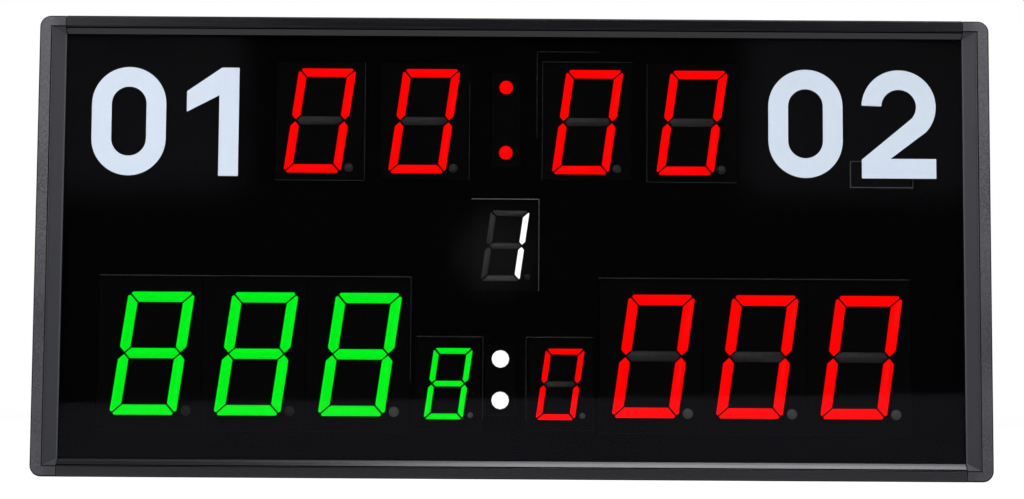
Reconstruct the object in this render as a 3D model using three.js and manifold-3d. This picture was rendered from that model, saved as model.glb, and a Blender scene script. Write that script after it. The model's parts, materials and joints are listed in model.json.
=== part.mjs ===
// Electronic scoreboard: a shallow black case with a smoked window, seven-segment LED digits behind it,
// their circuit boards, a back panel with switch, power inlet and sounder, and two fold-out legs.
//
// Millimetres, +Z up. X runs along the board, to the viewer's right. Depth runs back from the front face
// of the frame, towards +Y. The origin is on the ground, under the middle of the whole board.

import * as THREE from "three";
import { ConvexGeometry } from "three/addons/geometries/ConvexGeometry.js";
import { mergeVertices } from "three/addons/utils/BufferGeometryUtils.js";
import Module from "manifold-3d";

const wasm = await Module();
wasm.setup();

// The frame: two extruded rails between two moulded end caps. It is as large as the rows of digits and the
// margins round them.
const SIDE_MARGIN = 44.4; // from the score row to the ends, with the display in the middle
const BOTTOM_MARGIN = 29.05;
const TOP_MARGIN = 27;
const FRAME_DEPTH = 38;
const CORNER_RADIUS = 7;
const CAP_EDGE_ROUND = 1.2;
const RAIL_EDGE_CHAMFER = 0.8;
const RAIL_BAND = 6.9; // the flat front face of a rail
const RAIL_BEVEL = 4.6; // the slope from that face in to the window
const CAP_BAND = 7.8;
const CAP_BEVEL = 8.6;
const BEVEL_DEPTH = 4.2;
const LINE_WIDTH = 0.5; // the fine groove between the flat face and the slope
const LINE_DEPTH = 0.5;
const LIP_THICKNESS = 1;
const RAIL_WALL = 1.6;
const RAIL_RIB = 1.4;
const REAR_LIP = 2;
const REAR_LIP_HEIGHT = 9;
const CAP_WALL = 2.4;
const CAP_WEB = 1.8;
const CAP_WEB_SET_IN = 2.4;
const CAP_WEB_SHARES = [0.27, 0.5, 0.73];
const CORNER_BLOCK = 14;

// Fits and cutters.
const FIT_GAP = 0.3; // between two pieces that touch on the real board
const RAIL_END_GAP = 0.5; // the joint that shows between a rail and an end cap
const CUT_OVERRUN = 2; // how far a cutter runs past what it cuts

// The screw port of a rail, and the screw that holds an end cap in it.
const PORT_DEPTH = 20;
const PORT_BORE_RADIUS = 1.95;
const PORT_WALL = 1.5;
const PORT_MOUTH_ANGLE = Math.PI / 3;
const PORT_HEIGHT = 6.6;
const PORT_STEM = 3.2;
const SCREW_RADIUS = 1.6;
const SCREW_LENGTH = 20;
const SCREW_HEAD_RADIUS = 3.1;
const SCREW_HEAD_HEIGHT = 2.4;
const SCREW_SEAT = 5.4; // plastic left between the screw's head and the rail
const SCREW_HOLE_RADIUS = 2.2;
const COUNTERBORE_RADIUS = 3.7;
const PLUG_LENGTH = 6;
const PLUG_PLAY = 0.4;

// The panels held in the frame's grooves.
const WINDOW_THICKNESS = 2.8;
const WINDOW_INSERT = 4.6;
const BACK_THICKNESS = 1.2;
const BACK_INSERT = 4.4;
const MASK_THICKNESS = 1;
const MASK_CLEARANCE = 0.5; // round each digit in its opening

// The display. Its pieces are centred a little to the left of the case.
const DISPLAY_AXIS = -5;
const SLANT = THREE.MathUtils.degToRad(8);
const MODULE_DEPTH = 12;
const MODULE_SETBACK = 0.6;
const MODULE_WALL = 1.5;
const MODULE_FACE = 2;
const LENS_SETBACK = 0.15;
const LENS_PLAY = 0.2;
const LENS_ROOT = 0.5;
const SEGMENT_GAP = 0.8;
const CORNER_CUT_SHARE = 0.42; // of a segment's width, off each outer corner of a digit
const DOT_SIDES = 12;

// Each kind of digit: its strokes, the margins to its housing's edges, and its point, beside its right side
// and above its foot.
const TIMER_DIGIT = {
  width: 36.5,
  height: 66.8,
  stroke: 5.5,
  sideMargin: 9.75,
  endMargin: 4.1,
  digitShift: 0,
  dotRadius: 3,
  dotBeside: 0.35,
  dotRise: 3.4,
};
const SCORE_DIGIT = {
  width: 42,
  height: 77.8,
  stroke: 6.8,
  sideMargin: 11.5,
  endMargin: 9.35,
  digitShift: 1.5,
  dotRadius: 3.4,
  dotBeside: 0.6,
  dotRise: 3,
};
const SMALL_DIGIT = {
  width: 24.8,
  height: 45,
  stroke: 3.9,
  sideMargin: 8.1,
  endMargin: 6.25,
  digitShift: 0,
  dotRadius: 2,
  dotBeside: 1.6,
  dotRise: 2.8,
};
const DIGITS_PER_SCORE = 3;
const TIMER_COLON = { rise: 1, shift: 0, spacing: 41.7, dotRadius: 4.5, margin: 5 };
const SCORE_COLON = { rise: 2.7, shift: -2.5, spacing: 26, dotRadius: 5.7, margin: 3.5 };

// The gaps between the housings, in the rows and from row to row.
const TIMER_DIGIT_GAP = 10.3;
const TIMER_COLON_GAP = 14.35;
const SCORE_DIGIT_GAP = 0.4;
const SCORE_COLON_GAP = 5.5;
const FOUL_SCORE_GAP = 4.1;
const ROW_GAP = 62.45; // from the scores up to the timer
const FOUL_RISE = 1.5; // from the foot of the scores to that of the fouls
const PERIOD_RISE_SHARE = 0.54; // of the way from the fouls up to the timer's colon

// Circuit boards, and the posts on the back panel that carry them.
const PCB_THICKNESS = 1.6;
const PCB_SIDE_MARGIN = 12;
const PCB_EDGE_MARGIN = 2;
const PCB_FOOT = 10;
const POST_INSET = 6;
const POST_RADIUS = 3.5;
const POST_SIDES = 8;
const SCORE_POST_DROP = 11.25; // from the top and foot of the scores to the posts beside them
const TIMER_POST_DROP = 7.5;
const CENTRE_POST_INSET = 4.5;
const NOTCH_RISE = 9;
const PEG_RADIUS = 1.3;
const PEG_LENGTH = 2.4;
const PEG_HOLE_RADIUS = 1.9;
const PEG_SIDES = 6;
const CONTROL_WIDTH = 226;
const CONTROL_GAP_BELOW = 9.45; // to the score board
const CONTROL_GAP_ABOVE = 3; // to the timer board
const CONTROL_TAB_SIDE = 9.5; // how far the tab runs past the period digit
const CONTROL_TAB_FOOT = 5.65;

// What stands on the rear of the control board.
const CHIP_SIZE = 14;
const CHIP_HEIGHT = 2;
const CHIP_INSET = 63; // each inset is from the right end of the control board
const CAPACITOR_RADIUS = 4;
const CAPACITOR_HEIGHT = 8.5;
const CAPACITOR_INSETS = [49, 37];
const REGULATOR_INSET = 23;
const REGULATOR_WIDTH = 10;
const REGULATOR_HEIGHT = 9;
const REGULATOR_DEPTH = 4.4;
const SOLDER_SINK = 0.2; // how far a soldered part is sunk into its board

// The ribbon cables between the boards, and their sockets.
const RIBBON_WIDTH = 15.2;
const RIBBON_THICKNESS = 1;
const RIBBON_BEND = 2.4;
const RIBBON_REACH = 5.6;
const RIBBON_OFFSET = -70;
const SOCKET_WIDTH = 19;
const SOCKET_HEIGHT = 5;
const SOCKET_DEPTH = 3.6;
const SOCKET_INSET = 5;

// The remote control's receiver: a small card behind the mask, whose lens looks out through a window.
const RECEIVER = { fromEnd: 67, fromTop: 99, width: 39, height: 16, ledge: 1.5, lensRadius: 3.2 };

// The sounder and its grille.
const SOUNDER = { fromEnd: 110, radius: 15, depth: 9, collarRadius: 17.5, collarDepth: 2 };
const GRILLE_HOLE_RADIUS = 1.6;
const GRILLE_PITCH = 5;
const GRILLE_RINGS = 2;
const GRILLE_SIDES = 6;

// The power inlet.
const INLET_FROM_END = 86;
const INLET_BODY_RADIUS = 5.5;
const INLET_BODY_LENGTH = 14;
const INLET_FLANGE_RADIUS = 7.5;
const INLET_FLANGE = 1.8;
const INLET_SOCKET_RADIUS = 3.3;
const INLET_SOCKET_DEPTH = 10;
const INLET_PIN_RADIUS = 1.05;
const INLET_PIN_SETBACK = 1;
const INLET_NUT_RADIUS = 8;
const INLET_NUT_THICKNESS = 2.6;
const INLET_SIDES = 16;

// The rocker switch.
const SWITCH_FROM_END = 122;
const BEZEL_WIDTH = 15.4;
const BEZEL_HEIGHT = 21.6;
const BEZEL_DEPTH = 1.8;
const SWITCH_BODY_WIDTH = 13;
const SWITCH_BODY_HEIGHT = 19.2;
const SWITCH_BODY_DEPTH = 13;
const SWITCH_WELL_WIDTH = 10.6;
const SWITCH_WELL_HEIGHT = 17;
const SWITCH_FLOOR = 2;
const ROCKER_PLAY = 0.4;
const ROCKER_HALF_HEIGHT = 7.2;
const ROCKER_RISE = 3.4; // from the pivot to the rocker's waist
const ROCKER_TILT = THREE.MathUtils.degToRad(10);
const ROCKER_BELLY = 3.4;
const ROCKER_BELLY_SHARE = 0.38;
const ROCKER_PIVOT_SINK = 2.4; // the pivot's depth under the bezel's face
const ROCKER_PIN_RADIUS = 1.2;
const ROCKER_PIN_HOLE_RADIUS = 1.6;

// The keyholes that hang the board on two wall screws, and the pressed pad that stiffens the sheet there.
const KEYHOLE = { fromEnd: 100, fromTop: 46, headRadius: 5.5, slotHalfWidth: 2.6, slotRise: 11 };
const PAD_MARGIN = 6;
const PAD_RISE = 1;
const PAD_CORNER = 3;

// Vent slots, in two groups above the middle.
const VENT_LENGTH = 42;
const VENT_HALF_HEIGHT = 1.4;
const VENT_PITCH = 6.5;
const VENT_COUNT = 5;
const VENT_OFFSET = 75;
const VENT_FROM_TOP = 28;

// The fold-out legs. Each hangs on a knuckle hinge and folds flat against the back.
const LEG_FROM_END = 38;
const LEG_REACH = 100;
const LEG_THICKNESS = 2.5;
const LEG_GROUND_GAP = 0.5;
const LEG_HEEL_HEIGHT = 72;
const LEG_TOE_HEIGHT = 12;
const LEG_CORNER = 4;
const LEG_RIM = 12;
const LEG_RUNNING_GAP = 0.8;
const KNUCKLE_RADIUS = 3.4;
const KNUCKLE_BORE_RADIUS = 1.9;
const KNUCKLE_SIDES = 14;
const HINGE_PIN_RADIUS = 1.5;
const HINGE_PIN_HEAD_RADIUS = 2.6;
const HINGE_PIN_HEAD = 1.4;
const HINGE_BOTTOM = 18;
const HINGE_KNUCKLE = 14;
const HINGE_MIDDLE = 30;
const BRACKET_THICKNESS = 1.5;
const BRACKET_OUTER_WIDTH = 14;
const BRACKET_INNER_WIDTH = 8;
const BRACKET_MARGIN = 5;

// The places of the digits, and the board's own size, which follow from the sizes above.
const housingWidth = ({ width, sideMargin }) => width + 2 * sideMargin;
const housingHeight = ({ height, endMargin }) => height + 2 * endMargin;
const colonWidth = ({ dotRadius, margin }) => 2 * (dotRadius + margin);
const colonHeight = (colon) => colon.spacing + colonWidth(colon);
const TIMER_PITCH = housingWidth(TIMER_DIGIT) + TIMER_DIGIT_GAP;
const TIMER_PAIR_HALF = (TIMER_PITCH + housingWidth(TIMER_DIGIT)) / 2;
const TIMER_PAIR_OFFSET = colonWidth(TIMER_COLON) / 2 + TIMER_COLON_GAP + TIMER_PAIR_HALF;
const FOUL_OFFSET = colonWidth(SCORE_COLON) / 2 + SCORE_COLON_GAP + housingWidth(SMALL_DIGIT) / 2;
const SCORE_PITCH = housingWidth(SCORE_DIGIT) + SCORE_DIGIT_GAP;
const SCORE_GROUP_HALF = ((DIGITS_PER_SCORE - 1) * SCORE_PITCH + housingWidth(SCORE_DIGIT)) / 2;
const SCORE_GROUP_OFFSET = FOUL_OFFSET + housingWidth(SMALL_DIGIT) / 2 + FOUL_SCORE_GAP + SCORE_GROUP_HALF;
const HALF_WIDTH = SCORE_GROUP_OFFSET + SCORE_GROUP_HALF + SIDE_MARGIN;

const SCORE_ROW = BOTTOM_MARGIN + housingHeight(SCORE_DIGIT) / 2;
const SCORE_TOP = BOTTOM_MARGIN + housingHeight(SCORE_DIGIT);
const TIMER_BOTTOM = SCORE_TOP + ROW_GAP;
const TIMER_ROW = TIMER_BOTTOM + housingHeight(TIMER_DIGIT) / 2;
const BOARD_HEIGHT = TIMER_BOTTOM + housingHeight(TIMER_DIGIT) + TOP_MARGIN;
const FOUL_ROW = BOTTOM_MARGIN + FOUL_RISE + housingHeight(SMALL_DIGIT) / 2;
const FOUL_TOP = FOUL_ROW + housingHeight(SMALL_DIGIT) / 2;
const timerColon = { ...TIMER_COLON, x: DISPLAY_AXIS + TIMER_COLON.shift, z: TIMER_ROW + TIMER_COLON.rise };
const scoreColon = { ...SCORE_COLON, x: DISPLAY_AXIS + SCORE_COLON.shift, z: FOUL_ROW + SCORE_COLON.rise };
const COLON_FOOT = timerColon.z - colonHeight(timerColon) / 2;
const PERIOD_ROW = FOUL_TOP + PERIOD_RISE_SHARE * (COLON_FOOT - FOUL_TOP);

// The control board lies between the two others. What is fixed on it and on the back is in its middle line.
const CONTROL_BOTTOM = SCORE_TOP + PCB_EDGE_MARGIN + CONTROL_GAP_BELOW;
const CONTROL_TOP = TIMER_BOTTOM - PCB_EDGE_MARGIN - CONTROL_GAP_ABOVE;
const PART_ROW = (CONTROL_BOTTOM + CONTROL_TOP) / 2;
const INLET = { x: HALF_WIDTH - INLET_FROM_END, z: PART_ROW };
const SWITCH = { x: HALF_WIDTH - SWITCH_FROM_END, z: PART_ROW };

// Depths and edges that follow from the sizes above.
const RAIL_HEIGHT = RAIL_BAND + RAIL_BEVEL;
const CAP_WIDTH = CAP_BAND + CAP_BEVEL;
const OPENING_HALF_WIDTH = HALF_WIDTH - CAP_WIDTH;
const OPENING_TOP = BOARD_HEIGHT - RAIL_HEIGHT;
const LIP_BACK = BEVEL_DEPTH + LIP_THICKNESS;
const WINDOW_FRONT = LIP_BACK + FIT_GAP;
const WINDOW_BACK = WINDOW_FRONT + WINDOW_THICKNESS;
const WINDOW_GROOVE_BACK = WINDOW_BACK + FIT_GAP;
const FRONT_RIB_BACK = WINDOW_GROOVE_BACK + RAIL_RIB;
const BACK_REAR = FRAME_DEPTH - REAR_LIP - FIT_GAP;
const BACK_FRONT = BACK_REAR - BACK_THICKNESS;
const BACK_GROOVE_FRONT = BACK_FRONT - FIT_GAP;
const REAR_RIB_FRONT = BACK_GROOVE_FRONT - RAIL_RIB;
const PORT_OUTER_RADIUS = PORT_BORE_RADIUS + PORT_WALL;
const MASK_FRONT = WINDOW_BACK + FIT_GAP;
const MASK_BACK = MASK_FRONT + MASK_THICKNESS;
const FACE_DEPTH = MASK_FRONT + MODULE_SETBACK;
const PCB_FRONT = FACE_DEPTH + MODULE_DEPTH + FIT_GAP;
const PCB_BACK = PCB_FRONT + PCB_THICKNESS;
const BRACKET_FRONT = BACK_REAR + FIT_GAP;
const BRACKET_REAR = BRACKET_FRONT + BRACKET_THICKNESS;
const HINGE_DEPTH = BRACKET_REAR + FIT_GAP + KNUCKLE_RADIUS;
const OVERALL_DEPTH = HINGE_DEPTH + KNUCKLE_RADIUS;

const ARC_STEPS = 5;

// Materials, as on the board: grey coated metal, black plastic, smoked acrylic, lit and unlit diffusers.
const paint = (color, roughness, metalness = 0, extra = {}) =>
  new THREE.MeshStandardMaterial({ color, roughness, metalness, ...extra });
const RAIL_METAL = paint(0x3b3c40, 0.5, 0.6);
const CAP_PLASTIC = paint(0x4a4b50, 0.6);
const SMOKED_ACRYLIC = paint(0x08080a, 0.06, 0, { transparent: true, opacity: 0.35 });
const MASK_BLACK = paint(0x050506, 0.7);
const HOUSING_BLACK = paint(0x0d0d0e, 0.55);
const RED_LIGHT = paint(0xff0a05, 0.4, 0, { emissive: 0xff0500 });
const GREEN_LIGHT = paint(0x10e820, 0.4, 0, { emissive: 0x06d818 });
const WHITE_LIGHT = paint(0xf4f4f0, 0.4, 0, { emissive: 0xc8c8c4 });
const BOARD_GREEN = paint(0x1c5a35, 0.5);
const BACK_METAL = paint(0x1c1d20, 0.55, 0.5);
const SCREW_STEEL = paint(0x8c8e92, 0.35, 0.9);
const LEG_STEEL = paint(0x222326, 0.5, 0.6);
const BLACK_PLASTIC = paint(0x121214, 0.45);
const RIBBON_GREY = paint(0x8d8f94, 0.6);

// Geometry helpers.

// A closed three.js geometry as a solid that can be cut and joined.
function solid(geometry) {
  geometry.deleteAttribute("normal");
  geometry.deleteAttribute("uv");
  const merged = mergeVertices(geometry);
  return new wasm.Manifold(
    new wasm.Mesh({
      numProp: 3,
      vertProperties: merged.attributes.position.array,
      triVerts: new Uint32Array(merged.index.array),
    }),
  );
}

const union = (...solids) => wasm.Manifold.union(solids.flat());

function mesh(name, body, material) {
  const cut = body.getMesh();
  const geometry = new THREE.BufferGeometry();
  const places = new Float32Array(cut.numVert * 3);
  for (let i = 0; i < cut.numVert; i++) {
    places.set(cut.vertProperties.subarray(i * cut.numProp, i * cut.numProp + 3), i * 3);
  }
  geometry.setAttribute("position", new THREE.BufferAttribute(places, 3));
  geometry.setIndex(new THREE.BufferAttribute(cut.triVerts, 1));
  geometry.computeVertexNormals();
  const made = new THREE.Mesh(geometry, material);
  made.name = name;
  return made;
}

function box(left, right, front, back, bottom, top) {
  const geometry = new THREE.BoxGeometry(right - left, back - front, top - bottom);
  geometry.translate((left + right) / 2, (front + back) / 2, (bottom + top) / 2);
  return solid(geometry);
}

// An outline in x and z, extruded backwards from one depth to another. A round takes its edges off.
function extrudeBack(shape, front, back, round = 0) {
  const geometry = new THREE.ExtrudeGeometry(shape, {
    depth: back - front - 2 * round,
    curveSegments: ARC_STEPS,
    bevelEnabled: round > 0,
    bevelThickness: round,
    bevelSize: round,
    bevelOffset: -round,
    bevelSegments: 2,
  });
  geometry.rotateX(Math.PI / 2);
  geometry.translate(0, back - round, 0);
  return solid(geometry);
}

// An extruded outline with openings right through it.
function perforated(shape, openings, front, back) {
  const cutters = openings.map((opening) => extrudeBack(opening, front - CUT_OVERRUN, back + CUT_OVERRUN));
  return extrudeBack(shape, front, back).subtract(union(cutters));
}

// A profile in depth and height, extruded along the board from x = left to x = right.
function extrudeAlong(profile, left, right) {
  const geometry = new THREE.ExtrudeGeometry(profile, {
    depth: right - left,
    curveSegments: ARC_STEPS,
    bevelEnabled: false,
  });
  const alongX = new THREE.Matrix4().makeBasis(
    new THREE.Vector3(0, 1, 0),
    new THREE.Vector3(0, 0, 1),
    new THREE.Vector3(1, 0, 0),
  );
  geometry.applyMatrix4(alongX);
  geometry.translate(left, 0, 0);
  return solid(geometry);
}

// A round bar between two ends: its axis runs along x, y (depth) or z.
function bar(axis, radius, from, to, centre, sides) {
  const geometry = new THREE.CylinderGeometry(radius, radius, to - from, sides);
  const middle = (from + to) / 2;
  if (axis === "x") {
    geometry.rotateZ(Math.PI / 2);
    geometry.translate(middle, centre.y, centre.z);
  } else if (axis === "y") {
    geometry.translate(centre.x, middle, centre.z);
  } else {
    geometry.rotateX(Math.PI / 2);
    geometry.translate(centre.x, centre.y, middle);
  }
  return solid(geometry);
}

function polygon(points, Kind = THREE.Shape) {
  return new Kind(points.map(([x, z]) => new THREE.Vector2(x, z)));
}

const rectangle = (left, right, bottom, top) =>
  polygon([
    [left, bottom],
    [right, bottom],
    [right, top],
    [left, top],
  ]);

function ring(x, z, radius, sides) {
  const points = [];
  for (let i = 0; i < sides; i++) {
    const angle = (2 * Math.PI * i) / sides;
    points.push(new THREE.Vector2(x + radius * Math.cos(angle), z + radius * Math.sin(angle)));
  }
  return new THREE.Shape(points);
}

// The frame.

// The section of the bottom rail, in depth and height: a hollow front, the window's groove, a screw port
// and the back panel's groove.
function railProfile() {
  const grooveFloor = RAIL_HEIGHT - WINDOW_INSERT - FIT_GAP;
  const backGrooveFloor = REAR_LIP_HEIGHT - BACK_INSERT - FIT_GAP;
  const ribTop = RAIL_HEIGHT - FIT_GAP;
  const stem = PORT_STEM / 2;
  const footAngle = Math.acos(stem / PORT_OUTER_RADIUS);
  const mouth = PORT_MOUTH_ANGLE / 2;
  const up = Math.PI / 2;
  const rearLipFront = FRAME_DEPTH - REAR_LIP;

  const profile = new THREE.Shape();
  profile.moveTo(RAIL_EDGE_CHAMFER, 0);
  profile.lineTo(FRAME_DEPTH - RAIL_EDGE_CHAMFER, 0);
  profile.lineTo(FRAME_DEPTH, RAIL_EDGE_CHAMFER);
  profile.lineTo(FRAME_DEPTH, REAR_LIP_HEIGHT);
  profile.lineTo(rearLipFront, REAR_LIP_HEIGHT);
  profile.lineTo(rearLipFront, backGrooveFloor);
  profile.lineTo(BACK_GROOVE_FRONT, backGrooveFloor);
  profile.lineTo(BACK_GROOVE_FRONT, REAR_LIP_HEIGHT);
  profile.lineTo(REAR_RIB_FRONT, REAR_LIP_HEIGHT);
  profile.lineTo(REAR_RIB_FRONT, RAIL_WALL);
  profile.lineTo(PORT_DEPTH + stem, RAIL_WALL);
  profile.absarc(PORT_DEPTH, PORT_HEIGHT, PORT_OUTER_RADIUS, -footAngle, up - mouth, false);
  profile.absarc(PORT_DEPTH, PORT_HEIGHT, PORT_BORE_RADIUS, up - mouth, up + mouth, true);
  profile.absarc(PORT_DEPTH, PORT_HEIGHT, PORT_OUTER_RADIUS, up + mouth, Math.PI + footAngle, false);
  profile.lineTo(PORT_DEPTH - stem, RAIL_WALL);
  profile.lineTo(FRONT_RIB_BACK, RAIL_WALL);
  profile.lineTo(FRONT_RIB_BACK, ribTop);
  profile.lineTo(WINDOW_GROOVE_BACK, ribTop);
  profile.lineTo(WINDOW_GROOVE_BACK, grooveFloor);
  profile.lineTo(LIP_BACK, grooveFloor);
  profile.lineTo(LIP_BACK, RAIL_HEIGHT);
  profile.lineTo(BEVEL_DEPTH, RAIL_HEIGHT);
  profile.lineTo(0, RAIL_BAND);
  profile.lineTo(LINE_DEPTH, RAIL_BAND);
  profile.lineTo(LINE_DEPTH, RAIL_BAND - LINE_WIDTH);
  profile.lineTo(0, RAIL_BAND - LINE_WIDTH);
  profile.lineTo(0, RAIL_EDGE_CHAMFER);

  // The chamber behind the front face keeps one wall's thickness from the face, the slope and the groove.
  const chamberFront = LINE_DEPTH + RAIL_RIB;
  const chamberBack = LIP_BACK - RAIL_RIB;
  const slope = RAIL_BEVEL / BEVEL_DEPTH;
  const underSlope = (depth) => RAIL_BAND + slope * depth - RAIL_RIB * Math.hypot(1, slope);
  profile.holes.push(
    polygon(
      [
        [chamberFront, RAIL_WALL],
        [chamberBack, RAIL_WALL],
        [chamberBack, underSlope(chamberBack)],
        [chamberFront, underSlope(chamberFront)],
      ],
      THREE.Path,
    ),
  );
  return profile;
}

// The space that the frame's four slopes leave open, and the lips behind them, in front of the window.
function slopedOpening() {
  const corners = [];
  const beyond = -CUT_OVERRUN / BEVEL_DEPTH;
  for (const [share, depth] of [
    [beyond, -CUT_OVERRUN],
    [1, BEVEL_DEPTH],
  ]) {
    const x = HALF_WIDTH - CAP_BAND - share * CAP_BEVEL;
    const z = RAIL_BAND + share * RAIL_BEVEL;
    for (const side of [-1, 1]) {
      corners.push(new THREE.Vector3(side * x, depth, z));
      corners.push(new THREE.Vector3(side * x, depth, BOARD_HEIGHT - z));
    }
  }
  const betweenLips = box(
    -OPENING_HALF_WIDTH,
    OPENING_HALF_WIDTH,
    0,
    LIP_BACK + CUT_OVERRUN,
    RAIL_HEIGHT,
    OPENING_TOP,
  );
  return union(solid(new ConvexGeometry(corners)), betweenLips);
}

// The fine groove that runs round the slopes, where they meet the flat face.
function facingLine() {
  const x = HALF_WIDTH - CAP_BAND;
  const z = RAIL_BAND;
  const outline = rectangle(-x - LINE_WIDTH, x + LINE_WIDTH, z - LINE_WIDTH, BOARD_HEIGHT - z + LINE_WIDTH);
  return perforated(outline, [rectangle(-x, x, z, BOARD_HEIGHT - z)], -CUT_OVERRUN, LINE_DEPTH);
}

// The left end cap: a moulded shell with webs, grooves for both panels, and plugs that enter the rails.
function endCap() {
  const outer = -HALF_WIDTH;
  const inner = -OPENING_HALF_WIDTH;
  const past = inner + CUT_OVERRUN;
  const outline = new THREE.Shape();
  outline.moveTo(past, 0);
  outline.lineTo(past, BOARD_HEIGHT);
  outline.lineTo(outer + CORNER_RADIUS, BOARD_HEIGHT);
  outline.absarc(
    outer + CORNER_RADIUS,
    BOARD_HEIGHT - CORNER_RADIUS,
    CORNER_RADIUS,
    Math.PI / 2,
    Math.PI,
    false,
  );
  outline.absarc(outer + CORNER_RADIUS, CORNER_RADIUS, CORNER_RADIUS, Math.PI, 1.5 * Math.PI, false);
  const block = extrudeBack(outline, 0, FRAME_DEPTH, CAP_EDGE_ROUND);

  const below = -CUT_OVERRUN;
  const above = BOARD_HEIGHT + CUT_OVERRUN;
  const beyondInner = box(inner, past + CUT_OVERRUN, below, FRAME_DEPTH + CUT_OVERRUN, below, above);
  const windowGroove = box(
    inner - WINDOW_INSERT - FIT_GAP,
    past,
    LIP_BACK,
    WINDOW_GROOVE_BACK,
    RAIL_HEIGHT - WINDOW_INSERT - FIT_GAP,
    OPENING_TOP + WINDOW_INSERT + FIT_GAP,
  );
  const backGroove = box(
    inner - BACK_INSERT - FIT_GAP,
    past,
    BACK_GROOVE_FRONT,
    FRAME_DEPTH - REAR_LIP,
    REAR_LIP_HEIGHT - BACK_INSERT - FIT_GAP,
    BOARD_HEIGHT - REAR_LIP_HEIGHT + BACK_INSERT + FIT_GAP,
  );
  const coreBottom = CORNER_BLOCK;
  const coreTop = BOARD_HEIGHT - CORNER_BLOCK;
  const core = box(outer + CAP_WALL, past, FRONT_RIB_BACK, REAR_RIB_FRONT, coreBottom, coreTop);
  const deepEdge = inner - WINDOW_INSERT - CAP_WALL;
  const deepFront = CAP_WALL + BEVEL_DEPTH * ((deepEdge - (outer + CAP_BAND)) / CAP_BEVEL);
  const deepCore = box(
    outer + CAP_WALL,
    deepEdge,
    Math.max(deepFront, CAP_WALL),
    FRAME_DEPTH - CAP_WALL,
    coreBottom,
    coreTop,
  );

  const hollows = union(core, deepCore);
  const grooves = union(facingLine(), windowGroove, backGroove);
  let cap = block.subtract(union(beyondInner, slopedOpening(), grooves, hollows));

  const webs = CAP_WEB_SHARES.map((share) => {
    const height = share * BOARD_HEIGHT;
    return box(
      outer + CAP_WALL / 2,
      inner - WINDOW_INSERT - CAP_WEB_SET_IN,
      FRONT_RIB_BACK - CAP_WALL,
      REAR_RIB_FRONT + CAP_WALL,
      height - CAP_WEB / 2,
      height + CAP_WEB / 2,
    );
  });
  cap = union(cap, webs);

  const flip = (z) => BOARD_HEIGHT - z;
  const plugSpans = [
    [FRONT_RIB_BACK + PLUG_PLAY, PORT_DEPTH - PORT_OUTER_RADIUS - PLUG_PLAY],
    [PORT_DEPTH + PORT_OUTER_RADIUS + PLUG_PLAY, REAR_RIB_FRONT - PLUG_PLAY],
  ];
  const low = RAIL_WALL + PLUG_PLAY;
  const high = REAR_LIP_HEIGHT;
  for (const [front, back] of plugSpans) {
    const root = inner - CAP_WALL;
    cap = union(
      cap,
      box(root, inner + PLUG_LENGTH, front, back, low, high),
      box(root, inner + PLUG_LENGTH, front, back, flip(high), flip(low)),
    );
  }

  for (const height of [PORT_HEIGHT, flip(PORT_HEIGHT)]) {
    const axis = { y: PORT_DEPTH, z: height };
    cap = cap
      .subtract(bar("x", COUNTERBORE_RADIUS, outer - CUT_OVERRUN, inner - SCREW_SEAT, axis, INLET_SIDES))
      .subtract(bar("x", SCREW_HOLE_RADIUS, outer, past, axis, DOT_SIDES));
  }
  return cap;
}

// The bottom left cap screw, its head seated at the bottom of the counterbore.
function capScrew() {
  const seat = -OPENING_HALF_WIDTH - SCREW_SEAT - FIT_GAP;
  const axis = { y: PORT_DEPTH, z: PORT_HEIGHT };
  const head = bar("x", SCREW_HEAD_RADIUS, seat - SCREW_HEAD_HEIGHT, seat, axis, DOT_SIDES);
  const shank = bar("x", SCREW_RADIUS, seat - SCREW_HEAD_HEIGHT / 2, seat + SCREW_LENGTH, axis, PEG_SIDES);
  return union(head, shank);
}

// The display.

// The outlines of a digit's seven segments, a to g, about the digit's centre, before it is slanted.
function segmentOutlines({ width, height, stroke }) {
  const right = width / 2;
  const top = height / 2;
  const cut = stroke * CORNER_CUT_SHARE;
  const half = stroke / 2;
  const gap = SEGMENT_GAP / Math.SQRT2;
  const a = [
    [right - cut, top],
    [cut - right, top],
    [cut / 2 + gap - right, top - cut / 2],
    [stroke + gap - right, top - stroke],
    [right - stroke - gap, top - stroke],
    [right - cut / 2 - gap, top - cut / 2],
  ];
  const b = [
    [right, half + gap],
    [right, top - cut],
    [right - cut / 2, top - cut / 2 - gap],
    [right - stroke, top - stroke - gap],
    [right - stroke, half + gap],
    [right - half, gap],
  ];
  const g = [
    [right - half - gap, 0],
    [right - stroke - gap, half],
    [stroke + gap - right, half],
    [half + gap - right, 0],
    [stroke + gap - right, -half],
    [right - stroke - gap, -half],
  ];
  const flipX = (points) => points.map(([x, z]) => [-x, z]).reverse();
  const flipZ = (points) => points.map(([x, z]) => [x, -z]).reverse();
  return [a, b, flipZ(b), flipZ(a), flipX(flipZ(b)), flipX(b), g];
}

// A convex outline, taken in by a distance all round. Its points run counterclockwise.
function takeIn(points, distance) {
  const lines = points.map(([x, z], i) => {
    const [nextX, nextZ] = points[(i + 1) % points.length];
    const length = Math.hypot(nextX - x, nextZ - z);
    const normal = [(z - nextZ) / length, (nextX - x) / length];
    return { normal, offset: normal[0] * x + normal[1] * z + distance };
  });
  return lines.map((line, i) => {
    const before = lines[(i + lines.length - 1) % lines.length];
    const [a, b] = before.normal;
    const [c, d] = line.normal;
    const scale = a * d - b * c;
    return [
      (before.offset * d - b * line.offset) / scale,
      (a * line.offset - before.offset * c) / scale,
    ];
  });
}

const slanted = (points, x, z) => points.map(([u, v]) => [x + u + v * Math.tan(SLANT), z + v]);

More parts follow.
